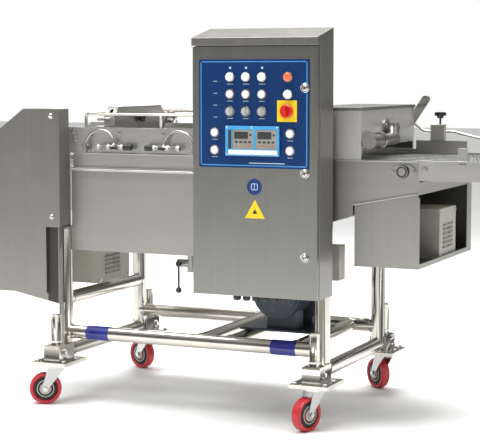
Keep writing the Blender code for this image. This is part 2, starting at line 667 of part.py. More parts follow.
# ---------------------------------------------------------------- guide rod on the back side
def build_guide():
    y = HALF_WIDTH - 2
    base = WALL_TOP + 48 + GAP
    x = 790.0
    rod_z = base + 35
    clamp_top = rod_z + 28
    rod_r = 6.0
    stem_r = 4.0
    body = [box((x - 28, y - 14, base), (x + 28, y + 14, clamp_top))]
    bore = cylinder((x - 60, y, rod_z), (x + 60, y, rod_z), rod_r + GAP, 16)
    thread = cylinder((x + 8, y, rod_z + 12), (x + 8, y, clamp_top + 14), stem_r + GAP, 12)
    piece("guide_clamp", STEEL, body, [bore, thread], origin=(x, y, base))
    path = ((694, y - 4, rod_z + 30), (730, y, rod_z), (x - 20, y, rod_z), (x + 60, y, rod_z),
            (970, y - 6, rod_z - 27), (INFEED_END, y - 30, rod_z - 54))
    piece("guide_rod", TUBE_STEEL, [tube(path, rod_r, 60, 12)])
    top = clamp_top + GAP
    knob = [cylinder((x + 8, y, rod_z + 14), (x + 8, y, top + 26), stem_r, 12),
            cylinder((x + 8, y, top + 24), (x + 8, y, top + 48), 12, 6, 19)]
    for k in range(5):
        a = 2 * math.pi * k / 5
        tip = (x + 8 + 17 * math.cos(a), y + 17 * math.sin(a))
        knob.append(cylinder((tip[0], tip[1], top + 34), (tip[0], tip[1], top + 47), 7, 10))
    piece("star_knob", BLACK, knob, origin=(x + 8, y, top))


# ---------------------------------------------------------------- curtain housing over the belt
def build_housing():
    w = HALF_WIDTH
    x0 = 450.0
    x1 = 690.0
    z0 = WALL_TOP + 14 + 2 * GAP
    z1 = HOUSING_TOP
    solids = [box((x0, -w, z0), (x1, w, z1))]
    cuts = [box((x0 + SHEET, -w + SHEET, z0 - 5), (x1 - SHEET, w - SHEET, z1 + 5)),
            box((x0 - 5, -w + 16, z0 - 5), (x1 + 5, w - 16, 1030)),
            cylinder((x1 - 10, -36, 1092), (x1 + 10, -36, 1092), 30)]
    solids.append(box((x0, -w, WALL_TOP + GAP), (x1, -w + 4, z0 + 1)))
    piece("curtain_housing", STEEL, solids, cuts)
    lid_z = z1 + GAP
    lid = [box((x0 - 4, -w - 4, lid_z), (x1 + 5, w, lid_z + 12))]
    lid_cut = [box((x0 + 10, -w + 10, lid_z - 1), (x1 - 10, w - 10, lid_z + 9.5))]
    piece("housing_lid", DARK_STEEL, lid, lid_cut)
    pivot = (655.0, w + GAP, 1072.0)
    tip = (736.0, w + GAP, 1194.0)
    along = Vector((tip[0] - pivot[0], 0, tip[2] - pivot[2])).normalized()
    across = Vector((along.z, 0, -along.x)) * 17
    ends = []
    for centre, sign in ((Vector(tip), 1), (Vector(pivot), -1)):
        for k in range(9):
            a = -math.pi / 2 + math.pi * k / 8
            p = centre + sign * (along * 17 * math.cos(a) - across * math.sin(a))
            ends.append((p.x, p.z))
    piece("lift_lever", TUBE_STEEL, [prism(ends, "Y", pivot[1], pivot[1] + 7)], origin=pivot)
    # the feed pipe lies in front of the housing and turns into it through the round cut-out
    px = x1 + 28.0
    pipe = [cylinder((px, -w + 14, 1052), (px, -14, 1052), 22.5, 20),
            cylinder((px, -36, 1045), (px, -36, 1113), 21.7, 20),
            cylinder((px + 20, -36, 1092), (x1 - 40, -36, 1092), 20.6, 20),
            cylinder((px, -w + 4, 1052), (px, -w + 22, 1052), 27, 20),
            cylinder((x1 + GAP, -36, 1092), (x1 + 6, -36, 1092), 36, 24)]
    piece("feed_pipe", TUBE_STEEL, pipe)


# ---------------------------------------------------------------- guard rail, air knife
def build_air():
    w = HALF_WIDTH
    z = 1139.0
    foot = GUARD_TOP + 0.1 + GAP
    y = w - 6
    solids = [tube(((-450, -y, foot), (-450, -y, z), (340, -y, z), (340, -y, foot)), 6, 16, 10),
              tube(((-450, y, foot), (-450, y, z), (340, y, z), (340, y, foot)), 6, 16, 10),
              cylinder((-122, -y, foot), (-122, -y, z), 6, 10),
              cylinder((-122, y, foot), (-122, y, z), 6, 10),
              cylinder((-440, -y, z), (-440, y, z), 6, 10)]
    piece("guard_rail", TUBE_STEEL, solids)
    half = w - 91.0
    outline = ((-half, 1030), (half, 1030), (half, 1128), (half - 40, 1166), (-half + 40, 1166),
               (-half, 1128))
    py = w + 44
    top = 1110.0
    air = [prism(outline, "X", -418, -372),
           cylinder((-395, -half + 2, 1118), (-395, -w + 6, 1118), 6, 10),
           tube(((-395, half - 5, top), (-395, py, top), (-395, py, 700), (230, py, 700), (230, py, 430),
                 (230, 118, 430)), 19, 60, 14)]
    for sy in (-1, 1):
        y0, y1 = sorted((sy * (half - 3), sy * (w - 2)))
        air.append(box((-411, y0, GUARD_TOP + 0.1 + GAP), (-379, y1, GUARD_TOP + 4)))
    nozzle = box((-402, -half + 12, 1020), (-388, half - 12, 1155))
    piece("air_knife", STEEL, air, [nozzle])
    centre = (-372 + GAP, -12.0, 1119.0)
    profile = ((0, 0), (8, 0), (8, 6), (19, 8), (19, 20), (0, 22))
    piece("knife_knob", BLACK, [lathe(profile, "X", centre, 20)], origin=centre)


# ---------------------------------------------------------------- machines below the trough
def louvres(x, y0, y1, z0, count, pitch):
    """Thin slots through a cover wall facing +X."""
    return [box((x - 6, y0, z0 + k * pitch), (x + 2, y1, z0 + k * pitch + 4)) for k in range(count)]


def build_motors():
    w = HALF_WIDTH
    x0 = 667.0
    x1 = 911.0
    back = w + 60.0

    def under(x):
        """Underside of the infeed end of the trough."""
        return STEP_Z + (x - TROUGH_STEP) * 46.0 / (TROUGH_RIGHT - TROUGH_STEP) - GAP

    front_wall = ((x0, 598), (x1 - 3 - GAP, 598), (x1 - 3 - GAP, under(x1 - 3 - GAP)), (x0, under(x0)))
    solids = [prism(front_wall, "Y", -w, -w + 3),
              box((x0, -w, 598), (x1, back, 601)),
              box((x0, back - 3, 598), (x1, back, 870)),
              prism(((-w, 598), (back, 598), (back, 870), (w + GAP, 870), (w + GAP, under(x0)),
                     (-w, under(x0))), "X", x0, x0 + 3),
              box((x1 - 4, -w, 598), (x1, -w + 8, under(x1 - 3) - 10)),
              box((x1 - 3, -w, 598), (x1, back, 615)),
              box((x1 - 3, back - 62, 598), (x1, back, 870)),
              box((x0, w + GAP, 867), (x1, back, 870))]
    piece("motor_box", STEEL, solids)
    floor = 601 + GAP
    hood = [box((700, -22, floor), (900, 190, 790))]
    cuts = [box((703, -19, floor - 5), (897, 187, 787))]
    cuts += louvres(900, 20, 150, 640, 6, 17)
    piece("motor_cover", BEIGE, hood, cuts)
    motor = [box((722, 10, floor), (880, 158, floor + 12)),
             box((740, 50, floor + 10), (860, 118, 660)),
             cylinder((725, 84, 692), (885, 84, 692), 66, 28),
             cylinder((712, 84, 692), (726, 84, 692), 22, 20)]
    piece("gear_motor", CAST_GREY, motor)
    under_z = TROUGH_Z - GAP
    hood = [box((-585, -200, 457), (-460, 60, under_z))]
    cuts = [box((-582, -197, 452), (-463, 57, under_z - 3))]
    cuts += louvres(-460, -150, -20, 490, 5, 17)
    piece("discharge_cover", BEIGE, hood, cuts)

    rail = RAIL_Z + CROSS_R + GAP / 2
    blower = [box((134, -140, rail), (456, 60, rail + 10)),
              cylinder((300, -6, 458), (300, 62, 458), 132, 36),
              cylinder((300, -176, 458), (300, -4, 458), 88, 28),
              box((240, -120, rail + 8), (360, -40, 400)),
              box((220, 4, rail + 8), (380, 50, 400)),
              cylinder((230, 58, 430), (230, 118 - GAP, 430), 31, 20)]
    fins = [box((300 - 93, -160 + 22 * k, 452), (300 + 93, -152 + 22 * k, 464)) for k in range(6)]
    piece("blower", CAST_GREY, blower + fins)
    neck_top = slope_z(456 - 25) - GAP
    pump = [box((424, -230, 529), (578, -168, 659)),
            cylinder((456, -199, 657), (456, -199, neck_top), 25, 20),
            cylinder((452, -170, 590), (452, 0, 590), 40, 24)]
    piece("feed_pump", BEIGE, pump)


build_frame()
build_casters()
build_trough()
build_side("side_plate_front", -1)
build_side("side_plate_back", 1)
build_valves()
build_drive_cover()
build_cabinet()
build_panel()
build_infeed()
build_belt()
build_guide()
build_housing()
build_air()
build_motors()

# the origin goes to the middle of the outline on the floor
bpy.context.view_layer.update()
corners = [obj.matrix_world @ v.co for obj in bpy.data.objects for v in obj.data.vertices]
middle_x = (min(c.x for c in corners) + max(c.x for c in corners)) / 2
middle_y = (min(c.y for c in corners) + max(c.y for c in corners)) / 2
for obj in bpy.data.objects:
    obj.location.x -= middle_x
    obj.location.y -= middle_y
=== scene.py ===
"""Looks for the belt line: finished sheet, tube, belt, panel, wheels and fittings."""

import json
import math
import random

import bmesh
import bpy
from mathutils import Matrix, Vector


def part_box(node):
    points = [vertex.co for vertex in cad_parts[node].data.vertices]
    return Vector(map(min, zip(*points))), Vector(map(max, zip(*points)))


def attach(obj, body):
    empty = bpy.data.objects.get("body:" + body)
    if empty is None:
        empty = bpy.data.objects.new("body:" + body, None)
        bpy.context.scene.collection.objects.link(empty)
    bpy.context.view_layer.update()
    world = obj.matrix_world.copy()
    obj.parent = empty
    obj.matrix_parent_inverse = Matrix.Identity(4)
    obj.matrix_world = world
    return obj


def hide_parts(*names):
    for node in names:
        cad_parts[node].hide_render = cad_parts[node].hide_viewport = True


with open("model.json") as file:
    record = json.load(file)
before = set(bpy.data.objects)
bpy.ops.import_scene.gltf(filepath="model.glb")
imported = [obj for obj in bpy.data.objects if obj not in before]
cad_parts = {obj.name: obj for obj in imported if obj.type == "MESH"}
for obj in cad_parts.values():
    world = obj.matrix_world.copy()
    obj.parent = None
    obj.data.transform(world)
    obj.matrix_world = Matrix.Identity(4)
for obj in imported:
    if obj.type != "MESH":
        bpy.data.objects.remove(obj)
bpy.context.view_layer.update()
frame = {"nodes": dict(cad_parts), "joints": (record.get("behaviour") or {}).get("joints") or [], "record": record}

NODES = frame["nodes"]
BODY_OF = {node: body for body, nodes in frame["record"]["behaviour"]["bodies"].items() for node in nodes}
LOW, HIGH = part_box("frame")
MIDDLE = (LOW + HIGH) / 2
MM = 0.001


def at(x, y, z):
    """A point in millimetres from the middle of the four legs on the floor, in metres."""
    return Vector((MIDDLE.x + x * MM, MIDDLE.y + y * MM, z * MM))


# ---------------------------------------------------------------- materials
class Wire:
    """An output of a material node, with arithmetic."""

    def __init__(self, paint, socket):
        self.paint = paint
        self.socket = socket

    def join(self, operation, first, second):
        return self.paint.node("ShaderNodeMath", {"operation": operation}, {0: first, 1: second})

    def __add__(self, other):
        return self.join("ADD", self, other)

    __radd__ = __add__

    def __mul__(self, other):
        return self.join("MULTIPLY", self, other)


class Paint:
    """One Principled material built from procedural nodes on Object coordinates."""

    def __init__(self, name, roughness=0.4, metallic=0.0, **constants):
        self.mat = bpy.data.materials.new(name)
        self.mat.use_nodes = True
        self.tree = self.mat.node_tree
        self.shader = self.tree.nodes["Principled BSDF"]
        self.shader.inputs["Roughness"].default_value = roughness
        self.shader.inputs["Metallic"].default_value = metallic
        for key, value in constants.items():
            self.shader.inputs[key.replace("_", " ")].default_value = value
        self.place = self.node("ShaderNodeTexCoord", out="Object")

    def node(self, kind, settings=None, inputs=None, out=0):
        new = self.tree.nodes.new(kind)
        for key, value in (settings or {}).items():
            if key == "stops":
                ramp = new.color_ramp.elements
                while len(ramp) < len(value):
                    ramp.new(0.5)
                for stop, (where, colour) in zip(ramp, value):
                    stop.position = where
                    stop.color = (*colour, 1.0)
            else:
                setattr(new, key, value)
        for key, value in (inputs or {}).items():
            if isinstance(value, Wire):
                self.tree.links.new(value.socket, new.inputs[key])
            else:
                new.inputs[key].default_value = value
        return Wire(self, new.outputs[out])

    def noise(self, size, stretch=(1, 1, 1), detail=3.0, rough=0.55):
        """Noise with features of that size in metres, drawn out where stretch is small."""
        scaled = self.node("ShaderNodeMapping", None, {"Vector": self.place, "Scale": stretch})
        return self.node("ShaderNodeTexNoise", None,
                         {"Vector": scaled, "Scale": 1.0 / size, "Detail": detail, "Roughness": rough})

    def ramp(self, value, stops):
        return self.node("ShaderNodeValToRGB", {"stops": stops}, {"Fac": value})

    def band(self, value, low, high):
        """0 below low, 1 above high."""
        return self.node("ShaderNodeMapRange", {"interpolation_type": "SMOOTHSTEP"},
                         {"Value": value, "From Min": low, "From Max": high})

    def mix(self, factor, first, second):
        new = self.tree.nodes.new("ShaderNodeMix")
        new.data_type = "RGBA"
        for socket, value in ((new.inputs[0], factor), (new.inputs[6], first), (new.inputs[7], second)):
            if isinstance(value, Wire):
                self.tree.links.new(value.socket, socket)
            elif isinstance(value, (int, float)):
                socket.default_value = value
            else:
                socket.default_value = (*value, 1.0)
        return Wire(self, new.outputs[2])

    def feed(self, name, value):
        self.tree.links.new(value.socket, self.shader.inputs[name])
        return self

    def bump(self, height, strength, distance):
        self.feed("Normal", self.node("ShaderNodeBump", None,
                                      {"Height": height, "Strength": strength, "Distance": distance}))
        return self


def shade(colour, factor):
    return tuple(min(1.0, c * factor) for c in colour)


def brushed(name, colour, roughness, grain, contrast=0.07, marks=0.5):
    """Brushed sheet. grain is the stretch: small along the brushing direction."""
    paint = Paint(name, roughness, 1.0)
    lines = paint.noise(0.0016, grain, 2.0, 0.7)
    streaks = paint.noise(0.018, grain, 3.0, 0.6)
    cloud = paint.noise(0.42, (1, 1, 1), 3.0, 0.5)
    smudge = paint.band(paint.noise(0.11, (1, 1, 1), 4.0, 0.6), 0.52, 0.72)
    tone = lines * 0.35 + streaks * 0.35 + cloud * 0.30
    paint.feed("Base Color", paint.ramp(tone, ((0.32, shade(colour, 1 - contrast)), (0.5, colour),
                                               (0.68, shade(colour, 1 + contrast)))))
    paint.feed("Roughness", roughness - 0.11 + lines * 0.10 + streaks * 0.08 + smudge * (0.09 * marks))
    paint.bump(lines * 0.6 + streaks * 0.4, 0.22, 0.0004)
    return paint.mat


def polished(name, colour, roughness):
    """Drawn or turned bright steel: faint rings and handling marks."""
    paint = Paint(name, roughness, 1.0)
    drawn = paint.noise(0.004, (1, 1, 1), 4.0, 0.65)
    patch = paint.noise(0.09, (1, 1, 1), 3.0, 0.5)
    paint.feed("Base Color", paint.ramp(patch * 0.7 + drawn * 0.3, ((0.3, shade(colour, 0.88)),
                                                                    (0.7, shade(colour, 1.06)))))
    paint.feed("Roughness", roughness - 0.06 + drawn * 0.10 + patch * 0.05)
    paint.bump(drawn, 0.12, 0.0002)
    return paint.mat


def moulded(name, colour, roughness, grain=0.0011, depth=0.25, wear=0.12, **constants):
    """Moulded plastic or enamel: fine pebble, slightly uneven colour."""
    paint = Paint(name, roughness, 0.0, **constants)
    pebble = paint.noise(grain, (1, 1, 1), 2.0, 0.5)
    patch = paint.noise(0.06, (1, 1, 1), 3.0, 0.55)
    stops = ((0.3, shade(colour, 1 - wear)), (0.7, shade(colour, 1 + wear)))
    paint.feed("Base Color", paint.ramp(patch, stops))
    paint.feed("Roughness", roughness - 0.06 + pebble * 0.07 + patch * 0.08)
    paint.bump(pebble, depth, 0.0002)
    return paint.mat


def cast(name, colour, roughness):
    """Painted casting: sandy surface, dust in the hollows, rubbed patches."""
    paint = Paint(name, roughness, 0.35)
    sand = paint.noise(0.0022, (1, 1, 1), 5.0, 0.7)
    patch = paint.noise(0.05, (1, 1, 1), 4.0, 0.6)
    rubbed = paint.band(patch, 0.58, 0.7)
    stops = ((0.3, shade(colour, 0.75)), (0.7, shade(colour, 1.15)))
    paint.feed("Base Color", paint.mix(rubbed, paint.ramp(sand, stops), shade(colour, 1.7)))
    paint.feed("Roughness", roughness - 0.05 + sand * 0.18)
    paint.bump(sand * 0.7 + patch * 0.3, 0.45, 0.0008)
    return paint.mat


def tread_red(name):
    """Cast polyurethane: saturated red, scuffed where it rolls, dusty near the floor."""
    paint = Paint(name, 0.36, 0.0, Subsurface_Weight=0.0, Coat_Weight=0.15)
    scuff = paint.noise(0.006, (1, 1, 1), 5.0, 0.7)
    dust = paint.band(paint.noise(0.03, (1, 1, 1), 4.0, 0.6), 0.5, 0.75)
    red = paint.ramp(scuff, ((0.3, (0.42, 0.008, 0.016)), (0.7, (0.62, 0.018, 0.03))))
    paint.feed("Base Color", paint.mix(dust * 0.22, red, (0.36, 0.20, 0.18)))
    paint.feed("Roughness", 0.28 + scuff * 0.16 + dust * 0.14)
    paint.bump(scuff, 0.3, 0.0005)
    return paint.mat


STEEL = (0.315, 0.307, 0.280)
GRAIN_UP = (1, 1, 0.02)
GRAIN_ALONG = (0.02, 1, 1)
PAINTS = {
    "sheet_up": brushed("brushed_sheet_upright", STEEL, 0.40, GRAIN_UP),
    "box_sheet": brushed("motor_box_sheet", (0.37, 0.362, 0.335), 0.42, GRAIN_UP),
    "housing_sheet": brushed("housing_sheet", (0.72, 0.71, 0.68), 0.46, GRAIN_UP),
    "sheet_along": brushed("brushed_sheet_lengthwise", (0.54, 0.53, 0.50), 0.38, GRAIN_ALONG),
    "door": brushed("cabinet_door_sheet", (0.300, 0.297, 0.276), 0.34, GRAIN_UP, 0.07, 0.7),
    "trough": brushed("trough_sheet", (0.415, 0.405, 0.375), 0.44, GRAIN_ALONG, 0.05),
    "dark_sheet": brushed("shaded_sheet", (0.27, 0.27, 0.26), 0.44, GRAIN_ALONG),
    "tube": polished("drawn_tube", (0.62, 0.595, 0.53), 0.20),
    "fitting": polished("satin_fittings", (0.40, 0.39, 0.36), 0.36),
    # painted shade: a dark copy of the brushed sheet for the inner faces of the motor box and curtain housing
    "painted_shade_inside": brushed("inner_faces_painted_shade", (0.15, 0.146, 0.132), 0.52, GRAIN_UP),
    "deep": brushed("deep_shade_sheet", (0.085, 0.080, 0.070), 0.50, GRAIN_UP),
    "bright": polished("bright_fittings", (0.58, 0.57, 0.545), 0.20),
    "wire": polished("belt_wire", (0.70, 0.71, 0.71), 0.24),
    "zinc": polished("zinc_plate", (0.56, 0.565, 0.55), 0.34),
    "red_tread": tread_red("red_tread"),
    "black": moulded("black_plastic", (0.018, 0.018, 0.019), 0.42, wear=0.25),
    "rubber": moulded("black_rubber", (0.012, 0.012, 0.012), 0.62, 0.0016, 0.4, 0.3),
    "panel": moulded("blue_panel_film", (0.0012, 0.030, 0.128), 0.36, 0.0008, 0.18, 0.06,
                     Specular_IOR_Level=0.3),
    "panel_line": moulded("light_blue_line", (0.055, 0.24, 0.52), 0.32, 0.0008, 0.15, 0.08),
    "bezel": moulded("sky_blue_bezel", (0.055, 0.36, 0.70), 0.28, 0.0009, 0.15, 0.10, Coat_Weight=0.3),
    "white": moulded("white_caps", (0.84, 0.86, 0.86), 0.30, 0.0009, 0.12, 0.03, Coat_Weight=0.25),
    "ink": moulded("white_print", (0.50, 0.62, 0.74), 0.45, 0.0007, 0.1, 0.05),
    "orange": moulded("orange_lens", (0.88, 0.17, 0.06), 0.22, 0.0009, 0.1, 0.08, Coat_Weight=0.5),
    "meter": moulded("meter_front", (0.30, 0.29, 0.26), 0.40, 0.0008, 0.2, 0.1),
    "window": moulded("meter_window", (0.035, 0.037, 0.036), 0.12, 0.002, 0.03, 0.1, Coat_Weight=0.6),
    "amber": moulded("amber_keys", (0.42, 0.22, 0.11), 0.38, 0.0008, 0.15, 0.1),
    "yellow": moulded("yellow_plate", (0.87, 0.62, 0.012), 0.38, 0.0009, 0.15, 0.05),
    "red": moulded("red_handle", (0.66, 0.016, 0.010), 0.30, 0.001, 0.15, 0.08, Coat_Weight=0.3),
    "silver": moulded("silver_cap", (0.44, 0.46, 0.47), 0.34, 0.0009, 0.1, 0.06, Coat_Weight=0.3),
    "sign_blue": moulded("sign_blue", (0.006, 0.035, 0.17), 0.32, 0.0009, 0.1, 0.05),
    "film": moulded("blue_film", (0.012, 0.014, 0.22), 0.30, 0.004, 0.5, 0.35, Coat_Weight=0.4),
    "cast": cast("blue_grey_casting", (0.060, 0.073, 0.092), 0.46),
    "hub": cast("cream_hub", (0.42, 0.41, 0.36), 0.48),
    "beige": moulded("beige_enamel", (0.36, 0.345, 0.29), 0.42, 0.003, 0.3, 0.07),
}


# ---------------------------------------------------------------- making pieces
ROUNDED_ANGLE = math.radians(32)      # edges folded more than this are rounded
CREASE_ANGLE = math.radians(38)       # edges folded more than this stay crisp
MERGE = 2e-5                          # points of a CAD shape closer than this are one


def finish(name, bm, paint, body, round_off=0.0, segments=2, flat=False):
    """Bevels the sharp edges, turns the bmesh into a piece and lets it ride on its body."""
    bmesh.ops.remove_doubles(bm, verts=bm.verts, dist=1e-6)
    if round_off:
        sharp = [e for e in bm.edges
                 if len(e.link_faces) == 2 and e.calc_face_angle(0.0) > ROUNDED_ANGLE]
        bmesh.ops.bevel(bm, geom=sharp, offset=round_off, offset_type="OFFSET", segments=segments,
                        profile=0.5, affect="EDGES", clamp_overlap=True, material=-1)
    bmesh.ops.recalc_face_normals(bm, faces=bm.faces)
    for face in bm.faces:
        face.smooth = not flat
    mesh = bpy.data.meshes.new(name)
    bm.to_mesh(mesh)
    bm.free()
    mesh.set_sharp_from_angle(angle=CREASE_ANGLE)
    piece = bpy.data.objects.new(name, mesh)
    bpy.context.scene.collection.objects.link(piece)
    mesh.materials.append(PAINTS[paint])
    if not flat:
        normals = piece.modifiers.new("even_shading", "WEIGHTED_NORMAL")
        normals.keep_sharp = True
    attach(piece, body)
    return piece


def add_bar(bm, a, b, radius, segments=20, end_radius=None):
    """A round bar between two points."""
    a = Vector(a)
    b = Vector(b)
    turn = Vector((0, 0, 1)).rotation_difference(b - a).to_matrix().to_4x4()
    return bmesh.ops.create_cone(bm, cap_ends=True, segments=segments, radius1=radius,
                                 radius2=radius if end_radius is None else end_radius, depth=(b - a).length,
                                 matrix=Matrix.Translation((a + b) / 2) @ turn)["verts"]


def add_slab(bm, lo, hi):
    """A block between two corners."""
    lo = Vector(lo)
    hi = Vector(hi)
    size = Matrix.Diagonal((*(hi - lo), 1.0))
    return bmesh.ops.create_cube(bm, size=1.0, matrix=Matrix.Translation((lo + hi) / 2) @ size)["verts"]


def add_turned(bm, profile, centre, axis, segments=32):
    """A closed outline of (radius, along) points turned about an axis through centre."""
    axis = Vector(axis).normalized()
    side = axis.orthogonal().normalized()
    new = [bm.verts.new(Vector(centre) + side * max(r, 1e-5) + axis * t) for r, t in profile]
    edges = [bm.edges.new((a, b)) for a, b in zip(new, new[1:] + new[:1])]
    bmesh.ops.spin(bm, geom=new + edges, cent=Vector(centre), axis=axis, dvec=(0, 0, 0),
                   angle=2 * math.pi, steps=segments, use_merge=True, use_duplicate=False)


def add_bolt(bm, centre, direction, across, height, washer=True):
    """A hexagon head, with a washer under it, standing on a surface."""
    centre = Vector(centre)
    direction = Vector(direction).normalized()
    base = centre
    if washer:
        add_bar(bm, centre, centre + direction * across * 0.14, across * 0.92, 24)
        base = centre + direction * across * 0.14
    add_bar(bm, base, base + direction * height, across * 0.577, 6)


def add_bead(bm, centre, axis, radius, thick, segments=36):
    """A weld bead round a tube."""
    profile = [(radius + thick * math.cos(a), thick * math.sin(a)) for a in
               [k * math.pi / 3 for k in range(6)]]
    add_turned(bm, profile, centre, axis, segments)


def add_tube(bm, points, radius, sides=12):
    """A round tube through a list of points."""
    points = [Vector(p) for p in points]
    ahead = (points[1] - points[0]).normalized()
    turn = Vector((0, 0, 1)).rotation_difference(ahead).to_matrix().to_4x4()
    ring = bmesh.ops.create_circle(bm, cap_ends=False, segments=sides, radius=radius,
                                   matrix=Matrix.Translation(points[0]) @ turn)["verts"]
    edges = list({e for v in ring for e in v.link_edges})
    for k in range(1, len(points)):
        here = points[k]
        before = ahead
        ahead = (points[min(k + 1, len(points) - 1)] - points[k - 1]).normalized()
        made = bmesh.ops.extrude_edge_only(bm, edges=edges)["geom"]
        verts = [g for g in made if isinstance(g, bmesh.types.BMVert)]
        edges = [g for g in made if isinstance(g, bmesh.types.BMEdge)]
        middle = sum((v.co for v in verts), Vector()) / len(verts)
        bmesh.ops.rotate(bm, verts=verts, cent=middle, matrix=before.rotation_difference(ahead).to_matrix())
        bmesh.ops.translate(bm, verts=verts, vec=here - middle)
    bmesh.ops.holes_fill(bm, edges=[e for e in bm.edges if e.is_boundary], sides=sides)


def refine(node, paint, round_off=0.0012, segments=2):
    """A CAD node's own shape with its edges rounded and its curves shaded smooth."""
    bm = bmesh.new()
    bm.from_mesh(NODES[node].data)
    bmesh.ops.remove_doubles(bm, verts=bm.verts, dist=MERGE)
    bmesh.ops.dissolve_limit(bm, angle_limit=math.radians(1.0), verts=bm.verts, edges=bm.edges,
                             delimit=set())
    piece = finish(node + "_finished", bm, paint, BODY_OF[node], round_off, segments)
    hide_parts(node)
    return piece


# ---------------------------------------------------------------- the CAD shapes, finished
FINISHES = (
    ("tube", 0.0, ("frame", "guard_rail", "guide_rod", "drive_shaft", "head_shaft", "tail_shaft")),
    ("fitting", 0.0, ("feed_pipe", "supply_valve_left", "supply_valve_right")),
    ("sheet_up", 0.0012, ("drive_cover", "cabinet")),
    ("housing_sheet", 0.0012, ("curtain_housing",)),
    ("box_sheet", 0.0012, ("motor_box",)),
    ("sheet_along", 0.0010, ("side_plate_front", "side_plate_back", "infeed_frame", "guide_clamp")),
    ("trough", 0.0010, ("trough",)),
    ("door", 0.0016, ("cabinet_door",)),
    ("dark_sheet", 0.0012, ("housing_lid",)),
    ("sheet_along", 0.0, ("air_knife",)),
    ("bright", 0.0008, ("bearing_front", "bearing_back", "lift_lever", "door_lock_1", "door_lock_2",
                        "door_lock_3")),
    ("zinc", 0.0008, ("caster_fork_fl", "caster_fork_fr", "caster_fork_bl", "caster_fork_br")),
    ("red_tread", 0.0010, ("caster_wheel_fl", "caster_wheel_fr", "caster_wheel_bl", "caster_wheel_br")),
    ("black", 0.0012, ("drain_lever", "valve_knob_left", "valve_knob_right", "knife_knob", "star_knob")),
    ("silver", 0.0012, ("selector_a", "selector_b", "selector_c")),
    ("panel", 0.0005, ("control_panel",)),
    ("bezel", 0.0010, ("screen_unit",)),
    ("white", 0.0010, tuple("button_" + tag for tag in "abcdefg")),
    ("yellow", 0.0008, ("switch_plate",)),
    ("red", 0.0016, ("switch_knob",)),
    ("cast", 0.0020, ("gear_motor", "blower")),
    ("beige", 0.0014, ("motor_cover", "discharge_cover", "feed_pump")),
)
FINISHED = {}
for paint, width, nodes in FINISHES:
    for node in nodes:
        FINISHED[node] = refine(node, paint, width)


def paint_inside(node, paint, margin=0.0015):
    """Gives the faces inside a sheet box a second, darker material: painted shade for the shadowed inside."""
    mesh = FINISHED[node].data
    mesh.materials.append(PAINTS[paint])
    low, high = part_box(node)
    for face in mesh.polygons:
        if all(low[i] + margin < face.center[i] < high[i] - margin for i in range(3)):
            face.material_index = 1


# the inner faces of both boxes are painted darker to stand for the shade inside them
paint_inside("motor_box", "painted_shade_inside")
paint_inside("curtain_housing", "painted_shade_inside")


# ---------------------------------------------------------------- wire belt
def place_on_loop(s, left, right, middle_z, radius):
    """The turned place at distance s along the belt's loop, from over its left end."""
    straight = right - left
    half_turn = math.pi * radius
    if s < straight:
        return Matrix.Translation((left + s, 0, middle_z + radius))
    if straight + half_turn <= s < 2 * straight + half_turn:
        back = s - straight - half_turn
        return Matrix.Translation((right - back, 0, middle_z - radius)) @ Matrix.Rotation(math.pi, 4, "Y")
    if s < straight + half_turn:
        centre = right
        angle = (s - straight) / radius
    else:
        centre = left
        angle = math.pi + (s - 2 * straight - half_turn) / radius
    spot = (centre + radius * math.sin(angle), 0, middle_z + radius * math.cos(angle))
    return Matrix.Translation(spot) @ Matrix.Rotation(angle, 4, "Y")


def build_belt():
    """Bent cross wires hooked to their neighbours, all round the loop."""
    low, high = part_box("main_belt")
    left = low.x + (high.z - low.z) / 2
    right = high.x - (high.z - low.z) / 2
    middle_z = (low.z + high.z) / 2
    radius = (high.z - low.z) / 2 - 0.0035
    straight = right - left
    total = 2 * straight + 2 * math.pi * radius
    count = 290
    pitch = total / count
    spaces = 12
    width = high.y - low.y - 0.006
    step = width / spaces
    wire = bpy.data.curves.new("cross_wire", "CURVE")
    wire.dimensions = "3D"
    wire.bevel_depth = 0.0012
    wire.bevel_resolution = 0
    wire.use_fill_caps = True
    line = wire.splines.new("POLY")
    hook = pitch * 0.92
    offsets = []
    for k in range(spaces):
        y = -width / 2 + k * step
        ahead = hook if k % 2 else 0.0
        offsets += [(ahead, y + 0.004), (ahead, y + step - 0.004)]
    line.points.add(len(offsets) - 1)
    for point, (along, y) in zip(line.points, offsets):
        point.co = (along, y, 0.0, 1.0)
    maker = bpy.data.objects.new("cross_wire", wire)
    bpy.context.scene.collection.objects.link(maker)
    one = maker.to_mesh().copy()
    maker.to_mesh_clear()
    bpy.data.objects.remove(maker)
    bm = bmesh.new()
    for k in range(count):
        spot = place_on_loop(k * pitch, left, right, middle_z, radius)
        spot = Matrix.Translation((0, (low.y + high.y) / 2, 0)) @ spot
        before = len(bm.verts)
        bm.from_mesh(one)
        bm.verts.ensure_lookup_table()
        bmesh.ops.transform(bm, matrix=spot, verts=bm.verts[before:])
    bpy.data.meshes.remove(one)
    mesh = bpy.data.meshes.new("wire_belt")
    bm.to_mesh(mesh)
    bm.free()
    for face in mesh.polygons:
        face.use_smooth = True
    belt = bpy.data.objects.new("wire_belt", mesh)
    bpy.context.scene.collection.objects.link(belt)
    mesh.materials.append(PAINTS["wire"])
    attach(belt, BODY_OF["main_belt"])
    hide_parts("main_belt")


build_belt()


# ---------------------------------------------------------------- control panel and door
PANEL_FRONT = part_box("switch_plate")[1].y + 0.0003     # front face of the panel sheet
DOOR_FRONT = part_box("cabinet_door")[0].y


def on_panel(x, z, out=0.0):
    """A point on the panel, out millimetres in front of it."""
    return Vector((at(x, 0, 0).x, PANEL_FRONT - out * MM, z * MM))


def centre_of(node):
    low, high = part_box(node)
    return (low + high) / 2


FORWARD = Vector((0, -1, 0))


def add_print(bm, x0, x1, z0, z1):
    """A flat printed patch on the panel."""
    add_slab(bm, (x0, PANEL_FRONT - 0.0003, z0), (x1, PANEL_FRONT + 0.0001, z1))


